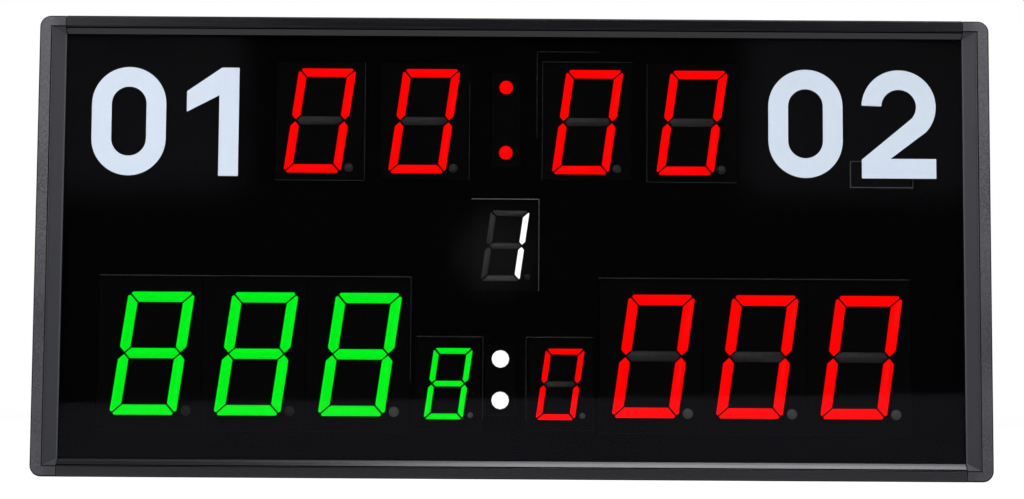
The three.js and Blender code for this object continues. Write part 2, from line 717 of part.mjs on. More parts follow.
// Prisms of a digit's segments and decimal point, taken in by a play, between two depths.
function segmentPrisms(kind, x, z, play, front, back) {
  const centre = x + kind.digitShift;
  const prisms = segmentOutlines(kind).map((outline) =>
    extrudeBack(polygon(slanted(takeIn(outline, play), centre, z)), front, back),
  );
  const dotHeight = z - kind.height / 2 + kind.dotRise;
  const dotX = centre + kind.width / 2 + kind.dotBeside;
  const dot = ring(dotX, dotHeight, kind.dotRadius - play, DOT_SIDES);
  return [...prisms, extrudeBack(dot, front, back)];
}

// A module's black housing: an open-backed tray whose face has an opening for each light.
function moduleHousing(width, height, x, z, lights) {
  const left = x - width / 2;
  const bottom = z - height / 2;
  const tray = box(left, left + width, FACE_DEPTH, FACE_DEPTH + MODULE_DEPTH, bottom, bottom + height);
  const hollow = box(
    left + MODULE_WALL,
    left + width - MODULE_WALL,
    FACE_DEPTH + MODULE_FACE,
    FACE_DEPTH + MODULE_DEPTH + CUT_OVERRUN,
    bottom + MODULE_WALL,
    bottom + height - MODULE_WALL,
  );
  return tray.subtract(union(hollow, lights));
}

// The milky resin that fills a housing: the lights, standing on one block behind the face.
function moduleLens(width, height, x, z, lights) {
  const inset = MODULE_WALL + FIT_GAP;
  const block = box(
    x - width / 2 + inset,
    x + width / 2 - inset,
    FACE_DEPTH + MODULE_FACE + FIT_GAP,
    FACE_DEPTH + MODULE_DEPTH,
    z - height / 2 + inset,
    z + height / 2 - inset,
  );
  return union(block, lights);
}

const LENS_FRONT = FACE_DEPTH + LENS_SETBACK;
const LENS_ROOT_DEPTH = FACE_DEPTH + MODULE_FACE + FIT_GAP + LENS_ROOT;

function digitModule(name, kind, x, z, light) {
  const width = housingWidth(kind);
  const height = housingHeight(kind);
  const openings = segmentPrisms(
    kind,
    x,
    z,
    0,
    FACE_DEPTH - CUT_OVERRUN,
    FACE_DEPTH + MODULE_FACE + CUT_OVERRUN,
  );
  const lights = segmentPrisms(kind, x, z, LENS_PLAY, LENS_FRONT, LENS_ROOT_DEPTH);
  return [
    mesh(`${name}_housing`, moduleHousing(width, height, x, z, openings), HOUSING_BLACK),
    mesh(`${name}_segments`, moduleLens(width, height, x, z, lights), light),
  ];
}

function colonDots(colon, radius, front, back) {
  return [-1, 1].map((side) => {
    const dot = ring(colon.x, colon.z + (side * colon.spacing) / 2, radius, DOT_SIDES);
    return extrudeBack(dot, front, back);
  });
}

function colonModule(name, colon, light) {
  const place = [colonWidth(colon), colonHeight(colon), colon.x, colon.z];
  const openings = colonDots(
    colon,
    colon.dotRadius,
    FACE_DEPTH - CUT_OVERRUN,
    FACE_DEPTH + MODULE_FACE + CUT_OVERRUN,
  );
  const dots = colonDots(colon, colon.dotRadius - LENS_PLAY, LENS_FRONT, LENS_ROOT_DEPTH);
  return [
    mesh(`${name}_housing`, moduleHousing(...place, openings), HOUSING_BLACK),
    mesh(`${name}_dots`, moduleLens(...place, dots), light),
  ];
}

// Where each digit stands: its name, kind, centre and light.
function digitPlaces() {
  const places = [];
  [-1, 1].forEach((side, pair) => {
    [-1, 1].forEach((half, digit) => {
      places.push({
        name: `timer_digit_${2 * pair + digit + 1}`,
        kind: TIMER_DIGIT,
        x: DISPLAY_AXIS + side * TIMER_PAIR_OFFSET + (half * TIMER_PITCH) / 2,
        z: TIMER_ROW,
        light: RED_LIGHT,
      });
    });
  });
  for (const [team, side, light] of [
    ["home", -1, GREEN_LIGHT],
    ["guest", 1, RED_LIGHT],
  ]) {
    for (let i = 0; i < DIGITS_PER_SCORE; i++) {
      places.push({
        name: `${team}_score_digit_${i + 1}`,
        kind: SCORE_DIGIT,
        x: DISPLAY_AXIS + side * SCORE_GROUP_OFFSET + (i - (DIGITS_PER_SCORE - 1) / 2) * SCORE_PITCH,
        z: SCORE_ROW,
        light,
      });
    }
    const x = DISPLAY_AXIS + side * FOUL_OFFSET;
    places.push({ name: `${team}_foul_digit`, kind: SMALL_DIGIT, x, z: FOUL_ROW, light });
  }
  const period = { x: DISPLAY_AXIS, z: PERIOD_ROW, light: WHITE_LIGHT };
  places.push({ name: "period_digit", kind: SMALL_DIGIT, ...period });
  return places;
}

// The edges of a score group's opening, and of its three housings.
function scoreGroup(side) {
  const centre = DISPLAY_AXIS + side * SCORE_GROUP_OFFSET;
  return [centre - SCORE_GROUP_HALF, centre + SCORE_GROUP_HALF];
}

// The remote control's receiver, with the place of its window.
const receiver = { ...RECEIVER, x: HALF_WIDTH - RECEIVER.fromEnd, z: BOARD_HEIGHT - RECEIVER.fromTop };

// The black sheet behind the window, with an opening for each digit, score and colon and for the receiver.
function displayMask() {
  const edge = OPENING_HALF_WIDTH - FIT_GAP;
  const sheet = rectangle(-edge, edge, RAIL_HEIGHT + FIT_GAP, OPENING_TOP - FIT_GAP);
  const opening = (left, right, z, height) =>
    rectangle(
      left - MASK_CLEARANCE,
      right + MASK_CLEARANCE,
      z - height / 2 - MASK_CLEARANCE,
      z + height / 2 + MASK_CLEARANCE,
    );
  const openings = digitPlaces()
    .filter(({ kind }) => kind !== SCORE_DIGIT)
    .map(({ kind, x, z }) => {
      const half = housingWidth(kind) / 2;
      return opening(x - half, x + half, z, housingHeight(kind));
    });
  for (const side of [-1, 1]) {
    openings.push(opening(...scoreGroup(side), SCORE_ROW, housingHeight(SCORE_DIGIT)));
  }
  for (const colon of [timerColon, scoreColon]) {
    const half = colonWidth(colon) / 2;
    openings.push(opening(colon.x - half, colon.x + half, colon.z, colonHeight(colon)));
  }
  const { x, z, width, height } = receiver;
  openings.push(rectangle(x - width / 2, x + width / 2, z - height / 2, z + height / 2));
  return perforated(sheet, openings, MASK_FRONT, MASK_BACK);
}

function frontWindow() {
  const half = OPENING_HALF_WIDTH + WINDOW_INSERT;
  const bottom = RAIL_HEIGHT - WINDOW_INSERT;
  return box(-half, half, WINDOW_FRONT, WINDOW_BACK, bottom, BOARD_HEIGHT - bottom);
}

// Circuit boards. Each is an outline, the posts that carry it, and what is soldered on its rear.

function timerBoard() {
  const reach = TIMER_PAIR_OFFSET + TIMER_PAIR_HALF + PCB_SIDE_MARGIN;
  const rise = housingHeight(TIMER_DIGIT) / 2 + PCB_EDGE_MARGIN;
  const outline = rectangle(DISPLAY_AXIS - reach, DISPLAY_AXIS + reach, TIMER_ROW - rise, TIMER_ROW + rise);
  const postRise = housingHeight(TIMER_DIGIT) / 2 - TIMER_POST_DROP;
  const posts = [];
  for (const side of [-1, 1]) {
    for (const half of [-1, 1]) {
      posts.push([DISPLAY_AXIS + side * (reach - POST_INSET), TIMER_ROW + half * postRise]);
    }
  }
  return { outline, posts, bottom: TIMER_ROW - rise };
}

// The score board reaches under all six score digits, and is notched below the period digit.
function scoreBoard() {
  const [homeLeft, homeRight] = scoreGroup(-1);
  const [guestLeft, guestRight] = scoreGroup(1);
  const left = homeLeft - PCB_SIDE_MARGIN;
  const right = guestRight + PCB_SIDE_MARGIN;
  const top = SCORE_TOP + PCB_EDGE_MARGIN;
  const bottom = BOTTOM_MARGIN - PCB_FOOT;
  const notch = FOUL_TOP + NOTCH_RISE;
  const outline = polygon([
    [left, bottom],
    [right, bottom],
    [right, top],
    [guestLeft - PCB_EDGE_MARGIN, top],
    [guestLeft - PCB_EDGE_MARGIN, notch],
    [homeRight + PCB_EDGE_MARGIN, notch],
    [homeRight + PCB_EDGE_MARGIN, top],
    [left, top],
  ]);
  const posts = [
    [DISPLAY_AXIS, bottom + CENTRE_POST_INSET],
    [DISPLAY_AXIS, notch - CENTRE_POST_INSET],
  ];
  for (const x of [left + POST_INSET, right - POST_INSET]) {
    posts.push([x, BOTTOM_MARGIN + SCORE_POST_DROP], [x, SCORE_TOP - SCORE_POST_DROP]);
  }
  return { outline, posts, top };
}

const controlEnd = DISPLAY_AXIS + CONTROL_WIDTH / 2;

// The control board holds the period digit on a tab that reaches down between the scores.
function controlBoard() {
  const left = DISPLAY_AXIS - CONTROL_WIDTH / 2;
  const right = controlEnd;
  const tab = housingWidth(SMALL_DIGIT) / 2 + CONTROL_TAB_SIDE;
  const tabBottom = PERIOD_ROW - housingHeight(SMALL_DIGIT) / 2 - CONTROL_TAB_FOOT;
  const outline = polygon([
    [DISPLAY_AXIS - tab, tabBottom],
    [DISPLAY_AXIS + tab, tabBottom],
    [DISPLAY_AXIS + tab, CONTROL_BOTTOM],
    [right, CONTROL_BOTTOM],
    [right, CONTROL_TOP],
    [left, CONTROL_TOP],
    [left, CONTROL_BOTTOM],
    [DISPLAY_AXIS - tab, CONTROL_BOTTOM],
  ]);
  const posts = [];
  for (const x of [left + POST_INSET, right - POST_INSET]) {
    posts.push([x, CONTROL_BOTTOM + POST_INSET], [x, CONTROL_TOP - POST_INSET]);
  }
  return { outline, posts };
}

function pcb({ outline, posts }, soldered = []) {
  const pegHoles = posts.map(([x, z]) => ring(x, z, PEG_HOLE_RADIUS, PEG_SIDES));
  return union(perforated(outline, pegHoles, PCB_FRONT, PCB_BACK), soldered);
}

// A part soldered to the rear of a board: a block about x and z, standing out by a height.
function rearBlock(x, z, width, height, standing) {
  return box(
    x - width / 2,
    x + width / 2,
    PCB_BACK - SOLDER_SINK,
    PCB_BACK + standing,
    z - height / 2,
    z + height / 2,
  );
}

const ribbonX = DISPLAY_AXIS + RIBBON_OFFSET;
const ribbonSocket = (z, x = ribbonX) => rearBlock(x, z, SOCKET_WIDTH, SOCKET_HEIGHT, SOCKET_DEPTH);
const scoreRibbonX = DISPLAY_AXIS - RIBBON_OFFSET;

function controlParts() {
  const parts = [rearBlock(controlEnd - CHIP_INSET, PART_ROW, CHIP_SIZE, CHIP_SIZE, CHIP_HEIGHT)];
  for (const inset of CAPACITOR_INSETS) {
    const centre = { x: controlEnd - inset, z: PART_ROW };
    const root = PCB_BACK - SOLDER_SINK;
    parts.push(bar("y", CAPACITOR_RADIUS, root, PCB_BACK + CAPACITOR_HEIGHT, centre, DOT_SIDES));
  }
  parts.push(
    rearBlock(
      controlEnd - REGULATOR_INSET,
      PART_ROW,
      REGULATOR_WIDTH,
      REGULATOR_DEPTH,
      REGULATOR_HEIGHT,
    ),
  );
  parts.push(ribbonSocket(CONTROL_TOP - SOCKET_INSET));
  parts.push(ribbonSocket(CONTROL_BOTTOM + SOCKET_INSET, scoreRibbonX));
  return parts;
}

// A flat cable from one socket to another above it: it leaves both backwards and turns up between them.
function ribbonCable(x, lowSocket, highSocket) {
  const half = RIBBON_THICKNESS / 2;
  const start = PCB_BACK + SOCKET_DEPTH + FIT_GAP;
  const reach = start + RIBBON_REACH;
  const bend = RIBBON_BEND;
  const innerBend = RIBBON_BEND - RIBBON_THICKNESS;
  const profile = new THREE.Shape();
  profile.moveTo(start, lowSocket - half);
  profile.absarc(reach - bend, lowSocket - half + bend, bend, -Math.PI / 2, 0, false);
  profile.absarc(reach - bend, highSocket + half - bend, bend, 0, Math.PI / 2, false);
  profile.lineTo(start, highSocket + half);
  profile.lineTo(start, highSocket - half);
  profile.absarc(reach - bend, highSocket + half - bend, innerBend, Math.PI / 2, 0, true);
  profile.absarc(reach - bend, lowSocket - half + bend, innerBend, 0, -Math.PI / 2, true);
  profile.lineTo(start, lowSocket + half);
  return extrudeAlong(profile, x - RIBBON_WIDTH / 2, x + RIBBON_WIDTH / 2);
}

function receiverBoard() {
  const { x, z, width, height, ledge, lensRadius } = receiver;
  const front = MASK_BACK + FIT_GAP;
  const halfWidth = width / 2 + ledge;
  const halfHeight = height / 2 + ledge;
  const card = box(
    x - halfWidth,
    x + halfWidth,
    front,
    front + PCB_THICKNESS,
    z - halfHeight,
    z + halfHeight,
  );
  const lens = bar("y", lensRadius, MASK_FRONT + FIT_GAP, front + SOLDER_SINK, { x, z }, DOT_SIDES);
  return union(card, lens);
}

// The back panel and what is fixed to it.

const sounderPlace = { x: SOUNDER.fromEnd - HALF_WIDTH, z: PART_ROW };

const KEYHOLE_Z = BOARD_HEIGHT - KEYHOLE.fromTop;

function keyhole(x) {
  const { headRadius, slotHalfWidth, slotRise } = KEYHOLE;
  const z = KEYHOLE_Z;
  const meet = Math.asin(slotHalfWidth / headRadius);
  const up = Math.PI / 2;
  const hole = new THREE.Shape();
  hole.absarc(x, z, headRadius, up + meet, up - meet + 2 * Math.PI, false);
  hole.absarc(x, z + slotRise, slotHalfWidth, 0, Math.PI, false);
  return hole;
}

// The pad's outline, taken in on all sides.
function padOutline(x, takenIn) {
  const half = KEYHOLE.headRadius + PAD_MARGIN - takenIn;
  const bottom = KEYHOLE_Z - KEYHOLE.headRadius - PAD_MARGIN + takenIn;
  const top = KEYHOLE_Z + KEYHOLE.slotRise + KEYHOLE.slotHalfWidth + PAD_MARGIN - takenIn;
  return polygon([
    [x - half + PAD_CORNER, bottom],
    [x + half - PAD_CORNER, bottom],
    [x + half, bottom + PAD_CORNER],
    [x + half, top - PAD_CORNER],
    [x + half - PAD_CORNER, top],
    [x - half + PAD_CORNER, top],
    [x - half, top - PAD_CORNER],
    [x - half, bottom + PAD_CORNER],
  ]);
}

function keyholePad(x) {
  const pad = extrudeBack(padOutline(x, 0), BACK_FRONT, BACK_REAR + PAD_RISE);
  const inside = padOutline(x, BACK_THICKNESS);
  const hollow = extrudeBack(inside, BACK_FRONT - CUT_OVERRUN, BACK_FRONT + PAD_RISE);
  const hole = extrudeBack(keyhole(x), BACK_FRONT, BACK_REAR + CUT_OVERRUN);
  return pad.subtract(union(hollow, hole));
}

function backPanel(boards) {
  const half = OPENING_HALF_WIDTH + BACK_INSERT;
  const bottom = REAR_LIP_HEIGHT - BACK_INSERT;
  const sheet = rectangle(-half, half, bottom, BOARD_HEIGHT - bottom);
  const openings = [];
  const pads = [];
  for (const side of [-1, 1]) {
    const keyholeX = side * (HALF_WIDTH - KEYHOLE.fromEnd);
    openings.push(padOutline(keyholeX, BACK_THICKNESS));
    pads.push(keyholePad(keyholeX));
    for (let i = 0; i < VENT_COUNT; i++) {
      const centre = side * VENT_OFFSET;
      const z = BOARD_HEIGHT - VENT_FROM_TOP - i * VENT_PITCH;
      const slotEnd = VENT_LENGTH / 2;
      openings.push(
        rectangle(centre - slotEnd, centre + slotEnd, z - VENT_HALF_HEIGHT, z + VENT_HALF_HEIGHT),
      );
    }
  }
  for (let row = -GRILLE_RINGS; row <= GRILLE_RINGS; row++) {
    const count = 2 * GRILLE_RINGS + 1 - Math.abs(row);
    for (let i = 0; i < count; i++) {
      const x = sounderPlace.x + (i - (count - 1) / 2) * GRILLE_PITCH;
      const z = sounderPlace.z + row * GRILLE_PITCH * Math.sin(Math.PI / 3);
      openings.push(ring(x, z, GRILLE_HOLE_RADIUS, GRILLE_SIDES));
    }
  }
  openings.push(ring(INLET.x, INLET.z, INLET_BODY_RADIUS + FIT_GAP, INLET_SIDES));
  const cutWidth = SWITCH_BODY_WIDTH / 2 + FIT_GAP;
  const cutHeight = SWITCH_BODY_HEIGHT / 2 + FIT_GAP;
  openings.push(
    rectangle(SWITCH.x - cutWidth, SWITCH.x + cutWidth, SWITCH.z - cutHeight, SWITCH.z + cutHeight),
  );

  const shoulder = PCB_BACK + FIT_GAP;
  const posts = boards.flatMap(({ posts: places }) =>
    places.flatMap(([x, z]) => [
      bar("y", POST_RADIUS, shoulder, BACK_REAR - BACK_THICKNESS / 2, { x, z }, POST_SIDES),
      bar("y", PEG_RADIUS, shoulder - PEG_LENGTH, BACK_FRONT, { x, z }, PEG_SIDES),
    ]),
  );
  return union(perforated(sheet, openings, BACK_FRONT, BACK_REAR), pads, posts);
}

// The sounder's can, standing on a wide collar that is bonded round the grille.
function sounder() {
  const back = BACK_FRONT - FIT_GAP;
  const { radius, depth, collarRadius, collarDepth } = SOUNDER;
  const can = bar("y", radius, back - depth, back, sounderPlace, INLET_SIDES);
  const collar = bar("y", collarRadius, back - collarDepth, back, sounderPlace, INLET_SIDES);
  return union(can, collar);
}

function powerInlet() {
  const seat = BACK_REAR + FIT_GAP;
  const face = seat + INLET_FLANGE;
  const flange = bar("y", INLET_FLANGE_RADIUS, seat, face, INLET, INLET_SIDES);
  const body = bar("y", INLET_BODY_RADIUS, face - INLET_BODY_LENGTH, face, INLET, INLET_SIDES);
  const socketFloor = face - INLET_SOCKET_DEPTH;
  const socket = bar("y", INLET_SOCKET_RADIUS, socketFloor, face + CUT_OVERRUN, INLET, INLET_SIDES);
  const pinEnd = face - INLET_PIN_SETBACK;
  const pin = bar("y", INLET_PIN_RADIUS, socketFloor - CUT_OVERRUN / 2, pinEnd, INLET, POST_SIDES);
  return union(union(flange, body).subtract(socket), pin);
}

function inletNut() {
  const back = BACK_FRONT - FIT_GAP;
  const nut = bar("y", INLET_NUT_RADIUS, back - INLET_NUT_THICKNESS, back, INLET, PEG_SIDES);
  const bore = bar(
    "y",
    INLET_BODY_RADIUS + FIT_GAP,
    back - INLET_NUT_THICKNESS - CUT_OVERRUN,
    back + CUT_OVERRUN,
    INLET,
    INLET_SIDES,
  );
  return nut.subtract(bore);
}

const BEZEL_FACE = BACK_REAR + FIT_GAP + BEZEL_DEPTH;
const ROCKER_PIVOT = { y: BEZEL_FACE - ROCKER_PIVOT_SINK, z: SWITCH.z };

function aroundSwitch(width, height, front, back) {
  return box(
    SWITCH.x - width / 2,
    SWITCH.x + width / 2,
    front,
    back,
    SWITCH.z - height / 2,
    SWITCH.z + height / 2,
  );
}

function switchBody() {
  const bezel = aroundSwitch(BEZEL_WIDTH, BEZEL_HEIGHT, BACK_REAR + FIT_GAP, BEZEL_FACE);
  const bodyFront = BEZEL_FACE - SWITCH_BODY_DEPTH;
  const body = aroundSwitch(SWITCH_BODY_WIDTH, SWITCH_BODY_HEIGHT, bodyFront, BEZEL_FACE);
  const well = aroundSwitch(
    SWITCH_WELL_WIDTH,
    SWITCH_WELL_HEIGHT,
    bodyFront + SWITCH_FLOOR,
    BEZEL_FACE + CUT_OVERRUN,
  );
  const pinReach = SWITCH_BODY_WIDTH / 2 + CUT_OVERRUN;
  const pinHole = bar(
    "x",
    ROCKER_PIN_HOLE_RADIUS,
    SWITCH.x - pinReach,
    SWITCH.x + pinReach,
    ROCKER_PIVOT,
    DOT_SIDES,
  );
  return union(bezel, body).subtract(union(well, pinHole));
}

// The rocker, seen from its end: two faces that meet at a waist, tilted so that one is pressed home.
function switchRocker() {
  const end = ROCKER_HALF_HEIGHT;
  const endRise = ROCKER_RISE + end * Math.tan(ROCKER_TILT);
  const belly = end * ROCKER_BELLY_SHARE;
  const profile = polygon([
    [endRise, end],
    [ROCKER_RISE, 0],
    [endRise, -end],
    [0, -end],
    [-ROCKER_BELLY, -belly],
    [-ROCKER_BELLY, belly],
    [0, end],
  ]);
  const half = SWITCH_WELL_WIDTH / 2 - ROCKER_PLAY;
  const body = extrudeAlong(profile, -half, half);
  const pinEnd = SWITCH_BODY_WIDTH / 2;
  const pin = bar("x", ROCKER_PIN_RADIUS, -pinEnd, pinEnd, { y: 0, z: 0 }, POST_SIDES);
  return union(body, pin);
}

// The legs. side is -1 for the left one and 1 for the right.

const hingeTop = HINGE_BOTTOM + 2 * HINGE_KNUCKLE + HINGE_MIDDLE;
const hingeAxis = (side) => ({ x: side * (HALF_WIDTH - LEG_FROM_END), y: HINGE_DEPTH });

function hingeBore(side, bottom, top) {
  const centre = hingeAxis(side);
  return bar("z", KNUCKLE_BORE_RADIUS, bottom - CUT_OVERRUN, top + CUT_OVERRUN, centre, KNUCKLE_SIDES);
}

function legBracket(side) {
  const axis = hingeAxis(side);
  const outer = axis.x + side * BRACKET_OUTER_WIDTH;
  const inner = axis.x - side * BRACKET_INNER_WIDTH;
  const plate = box(
    Math.min(outer, inner),
    Math.max(outer, inner),
    BRACKET_FRONT,
    BRACKET_REAR,
    HINGE_BOTTOM - BRACKET_MARGIN,
    hingeTop + BRACKET_MARGIN,
  );
  const knuckles = [HINGE_BOTTOM, hingeTop - HINGE_KNUCKLE].map((bottom) => {
    const top = bottom + HINGE_KNUCKLE;
    const barrel = bar("z", KNUCKLE_RADIUS, bottom, top, axis, KNUCKLE_SIDES);
    const root = box(
      axis.x - KNUCKLE_RADIUS,
      axis.x + KNUCKLE_RADIUS,
      BRACKET_FRONT,
      axis.y,
      bottom,
      top,
    );
    return union(barrel, root);
  });
  return union(plate, knuckles).subtract(hingeBore(side, HINGE_BOTTOM, hingeTop));
}

// A leg: a flat triangular plate with a cut-out, joined to the hinge's middle knuckle.
function leg(side) {
  const axis = hingeAxis(side);
  const x = (distance) => axis.x - side * distance;
  const heel = KNUCKLE_RADIUS + LEG_RUNNING_GAP;
  const ground = LEG_GROUND_GAP;
  const plate = polygon([
    [x(heel), ground],
    [x(LEG_REACH - LEG_CORNER), ground],
    [x(LEG_REACH), ground + LEG_CORNER],
    [x(LEG_REACH), LEG_TOE_HEIGHT],
    [x(heel + LEG_CORNER), LEG_HEEL_HEIGHT],
    [x(heel), LEG_HEEL_HEIGHT - LEG_CORNER],
  ]);
  const slope = (LEG_HEEL_HEIGHT - LEG_TOE_HEIGHT) / (LEG_REACH - heel - LEG_CORNER);
  const holeLeft = heel + LEG_RIM;
  const holeBottom = ground + LEG_RIM;
  const holeTop = LEG_HEEL_HEIGHT - slope * (LEG_RIM - LEG_CORNER) - LEG_RIM * Math.hypot(1, slope);
  const holeReach = holeLeft + (holeTop - holeBottom) / slope;
  const blunt = LEG_CORNER;
  const cutOut = polygon([
    [x(holeLeft), holeBottom],
    [x(holeReach - blunt), holeBottom],
    [x(holeReach - blunt), holeBottom + slope * blunt],
    [x(holeLeft + blunt), holeTop - slope * blunt],
    [x(holeLeft), holeTop - slope * blunt],
  ]);
  const front = HINGE_DEPTH - LEG_THICKNESS / 2;
  const back = HINGE_DEPTH + LEG_THICKNESS / 2;
  const bottom = HINGE_BOTTOM + HINGE_KNUCKLE + FIT_GAP;
  const top = hingeTop - HINGE_KNUCKLE - FIT_GAP;
  const arm = box(Math.min(axis.x, x(holeLeft)), Math.max(axis.x, x(holeLeft)), front, back, bottom, top);
  const barrel = bar("z", KNUCKLE_RADIUS, bottom, top, axis, KNUCKLE_SIDES);
  const plateWithHole = perforated(plate, [cutOut], front, back);
  return union(plateWithHole, arm, barrel).subtract(hingeBore(side, bottom, top));
}

function hingePin(side) {
  const axis = hingeAxis(side);
  const top = hingeTop + FIT_GAP;
  const shank = bar("z", HINGE_PIN_RADIUS, HINGE_BOTTOM, top + HINGE_PIN_HEAD / 2, axis, POST_SIDES);
  const head = bar("z", HINGE_PIN_HEAD_RADIUS, top, top + HINGE_PIN_HEAD, axis, DOT_SIDES);
  return union(shank, head);
}

// Assembly.

const board = new THREE.Group();
board.position.y = -OVERALL_DEPTH / 2;

// Turned half round about the depth axis through the middle, a bottom or left piece becomes its opposite.
function turned(piece) {
  piece.rotation.y = Math.PI;
  piece.position.z = BOARD_HEIGHT;
  return piece;
}

const railEnd = OPENING_HALF_WIDTH - RAIL_END_GAP;
const rail = extrudeAlong(railProfile(), -railEnd, railEnd);
board.add(mesh("bottom_rail", rail, RAIL_METAL));
board.add(turned(mesh("top_rail", rail, RAIL_METAL)));

const cap = endCap();
board.add(mesh("left_end_cap", cap, CAP_PLASTIC));
board.add(turned(mesh("right_end_cap", cap, CAP_PLASTIC)));

const screw = capScrew();
const screwAcross = screw.mirror([0, 0, 1]).translate([0, 0, BOARD_HEIGHT]);
board.add(mesh("cap_screw_bottom_left", screw, SCREW_STEEL));
board.add(mesh("cap_screw_top_left", screwAcross, SCREW_STEEL));
board.add(turned(mesh("cap_screw_top_right", screw, SCREW_STEEL)));
board.add(turned(mesh("cap_screw_bottom_right", screwAcross, SCREW_STEEL)));

board.add(mesh("front_window", frontWindow(), SMOKED_ACRYLIC));
board.add(mesh("display_mask", displayMask(), MASK_BLACK));

for (const { name, kind, x, z, light } of digitPlaces()) {
  board.add(...digitModule(name, kind, x, z, light));
}
board.add(...colonModule("timer_colon", timerColon, RED_LIGHT));
board.add(...colonModule("score_colon", scoreColon, WHITE_LIGHT));

const timer = timerBoard();
const score = scoreBoard();
const control = controlBoard();
const timerSocket = timer.bottom + SOCKET_INSET;
const scoreSocket = score.top - SOCKET_INSET;
board.add(mesh("timer_board", pcb(timer, [ribbonSocket(timerSocket)]), BOARD_GREEN));
board.add(mesh("score_board", pcb(score, [ribbonSocket(scoreSocket, scoreRibbonX)]), BOARD_GREEN));
board.add(mesh("control_board", pcb(control, controlParts()), BOARD_GREEN));
board.add(mesh("timer_ribbon", ribbonCable(ribbonX, CONTROL_TOP - SOCKET_INSET, timerSocket), RIBBON_GREY));
board.add(
  mesh("score_ribbon", ribbonCable(scoreRibbonX, scoreSocket, CONTROL_BOTTOM + SOCKET_INSET), RIBBON_GREY),
);
board.add(mesh("receiver_board", receiverBoard(), BOARD_GREEN));

board.add(mesh("back_panel", backPanel([timer, score, control]), BACK_METAL));
board.add(mesh("sounder", sounder(), BLACK_PLASTIC));
board.add(mesh("dc_inlet", powerInlet(), BLACK_PLASTIC));
board.add(mesh("dc_inlet_nut", inletNut(), SCREW_STEEL));
board.add(mesh("switch_body", switchBody(), BLACK_PLASTIC));

const rocker = mesh("switch_rocker", switchRocker(), BLACK_PLASTIC);
rocker.position.set(SWITCH.x, ROCKER_PIVOT.y, ROCKER_PIVOT.z);
rocker.rotation.x = ROCKER_TILT;
board.add(rocker);

for (const [label, side] of [
  ["left", -1],
  ["right", 1],
]) {
  board.add(mesh(`${label}_leg_bracket`, legBracket(side), LEG_STEEL));
  board.add(mesh(`${label}_leg`, leg(side), LEG_STEEL));
  board.add(mesh(`${label}_leg_pin`, hingePin(side), SCREW_STEEL));
}

export default board;
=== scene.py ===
"""The scoreboard's looks: finishes, rounded edges, lit digits, numerals, small screws and the studio."""

import json
import math

import bmesh
import bpy
from mathutils import Matrix, Vector
from mathutils.geometry import tessellate_polygon


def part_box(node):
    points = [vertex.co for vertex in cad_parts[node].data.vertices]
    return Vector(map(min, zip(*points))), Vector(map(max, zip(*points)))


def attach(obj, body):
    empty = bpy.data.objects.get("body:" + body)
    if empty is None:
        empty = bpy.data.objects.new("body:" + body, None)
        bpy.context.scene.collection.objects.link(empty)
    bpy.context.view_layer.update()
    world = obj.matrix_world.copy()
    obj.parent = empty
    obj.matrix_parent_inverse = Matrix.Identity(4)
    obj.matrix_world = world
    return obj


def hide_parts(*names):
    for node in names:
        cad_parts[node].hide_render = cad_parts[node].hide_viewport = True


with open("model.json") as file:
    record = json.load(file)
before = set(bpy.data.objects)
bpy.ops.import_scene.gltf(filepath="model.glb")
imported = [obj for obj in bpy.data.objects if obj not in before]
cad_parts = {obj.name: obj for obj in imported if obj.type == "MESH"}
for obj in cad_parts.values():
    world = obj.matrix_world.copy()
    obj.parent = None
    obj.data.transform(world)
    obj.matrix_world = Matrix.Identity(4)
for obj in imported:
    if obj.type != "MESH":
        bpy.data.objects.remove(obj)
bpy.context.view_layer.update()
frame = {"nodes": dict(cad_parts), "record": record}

# Sizes of the board, in millimetres. Depths are measured backwards from the front face.
MM = 0.001
MIDDLE_DEPTH = 22.3
MIDDLE_HEIGHT = 145.0
HALF_LENGTH = 300.0
CORNER_RADIUS = 7.0
CAP_BAND = 7.8
RAIL_BAND = 6.9
GROOVE_WIDTH = 0.5
WINDOW_FRONT = 5.5
MASK_FRONT = 8.6
BLOCK_FRONT = 11.5
PANEL_REAR = 35.7
BRACKET_REAR = 37.5
BOARD_REAR = 23.1
CIRCUIT_TRACK_PITCH = 2.54
WIRE_PITCH = 1.27
# The centre of the painted glow beside the period digit, in millimetres.
PERIOD_GLOW_CENTRE = (-12.0, 141.0)

# Directions, the digits' slant, the corners of a square, shared colours and the digits' brightness
RIGHTWARDS = Vector((1, 0, 0))
UPWARDS = Vector((0, 0, 1))
SLANT = math.tan(math.radians(8))
SQUARE = ((-1, -1), (1, -1), (1, 1), (-1, 1))
BLACK = (0.0, 0.0, 0.0, 1.0)
WHITE = (1.0, 1.0, 1.0, 1.0)
LIGHT_STRENGTH = 4.2

# The camera's place in metres, its turns in degrees, and its lens and sensor in millimetres
CAMERA_PLACE = (-0.001, -1.2498, 0.050)
CAMERA_YAW = 0.016
CAMERA_PITCH = 4.348
CAMERA_ROLL = 0.361
CAMERA_LENS = 69.06
CAMERA_SENSOR = 36.0


def depth(millimetres):
    """The y of a depth behind the front face, in metres."""
    return (millimetres - MIDDLE_DEPTH) * MM


def tone(code):
    """A colour written as rrggbb, as the shaders take it."""
    parts = [int(code[i:i + 2], 16) / 255 for i in (0, 2, 4)]
    linear = [p / 12.92 if p <= 0.04045 else ((p + 0.055) / 1.055) ** 2.4 for p in parts]
    return (*linear, 1.0)


# Shader values and finishes. Places on the board are in metres there, and grain and relief in millimetres.

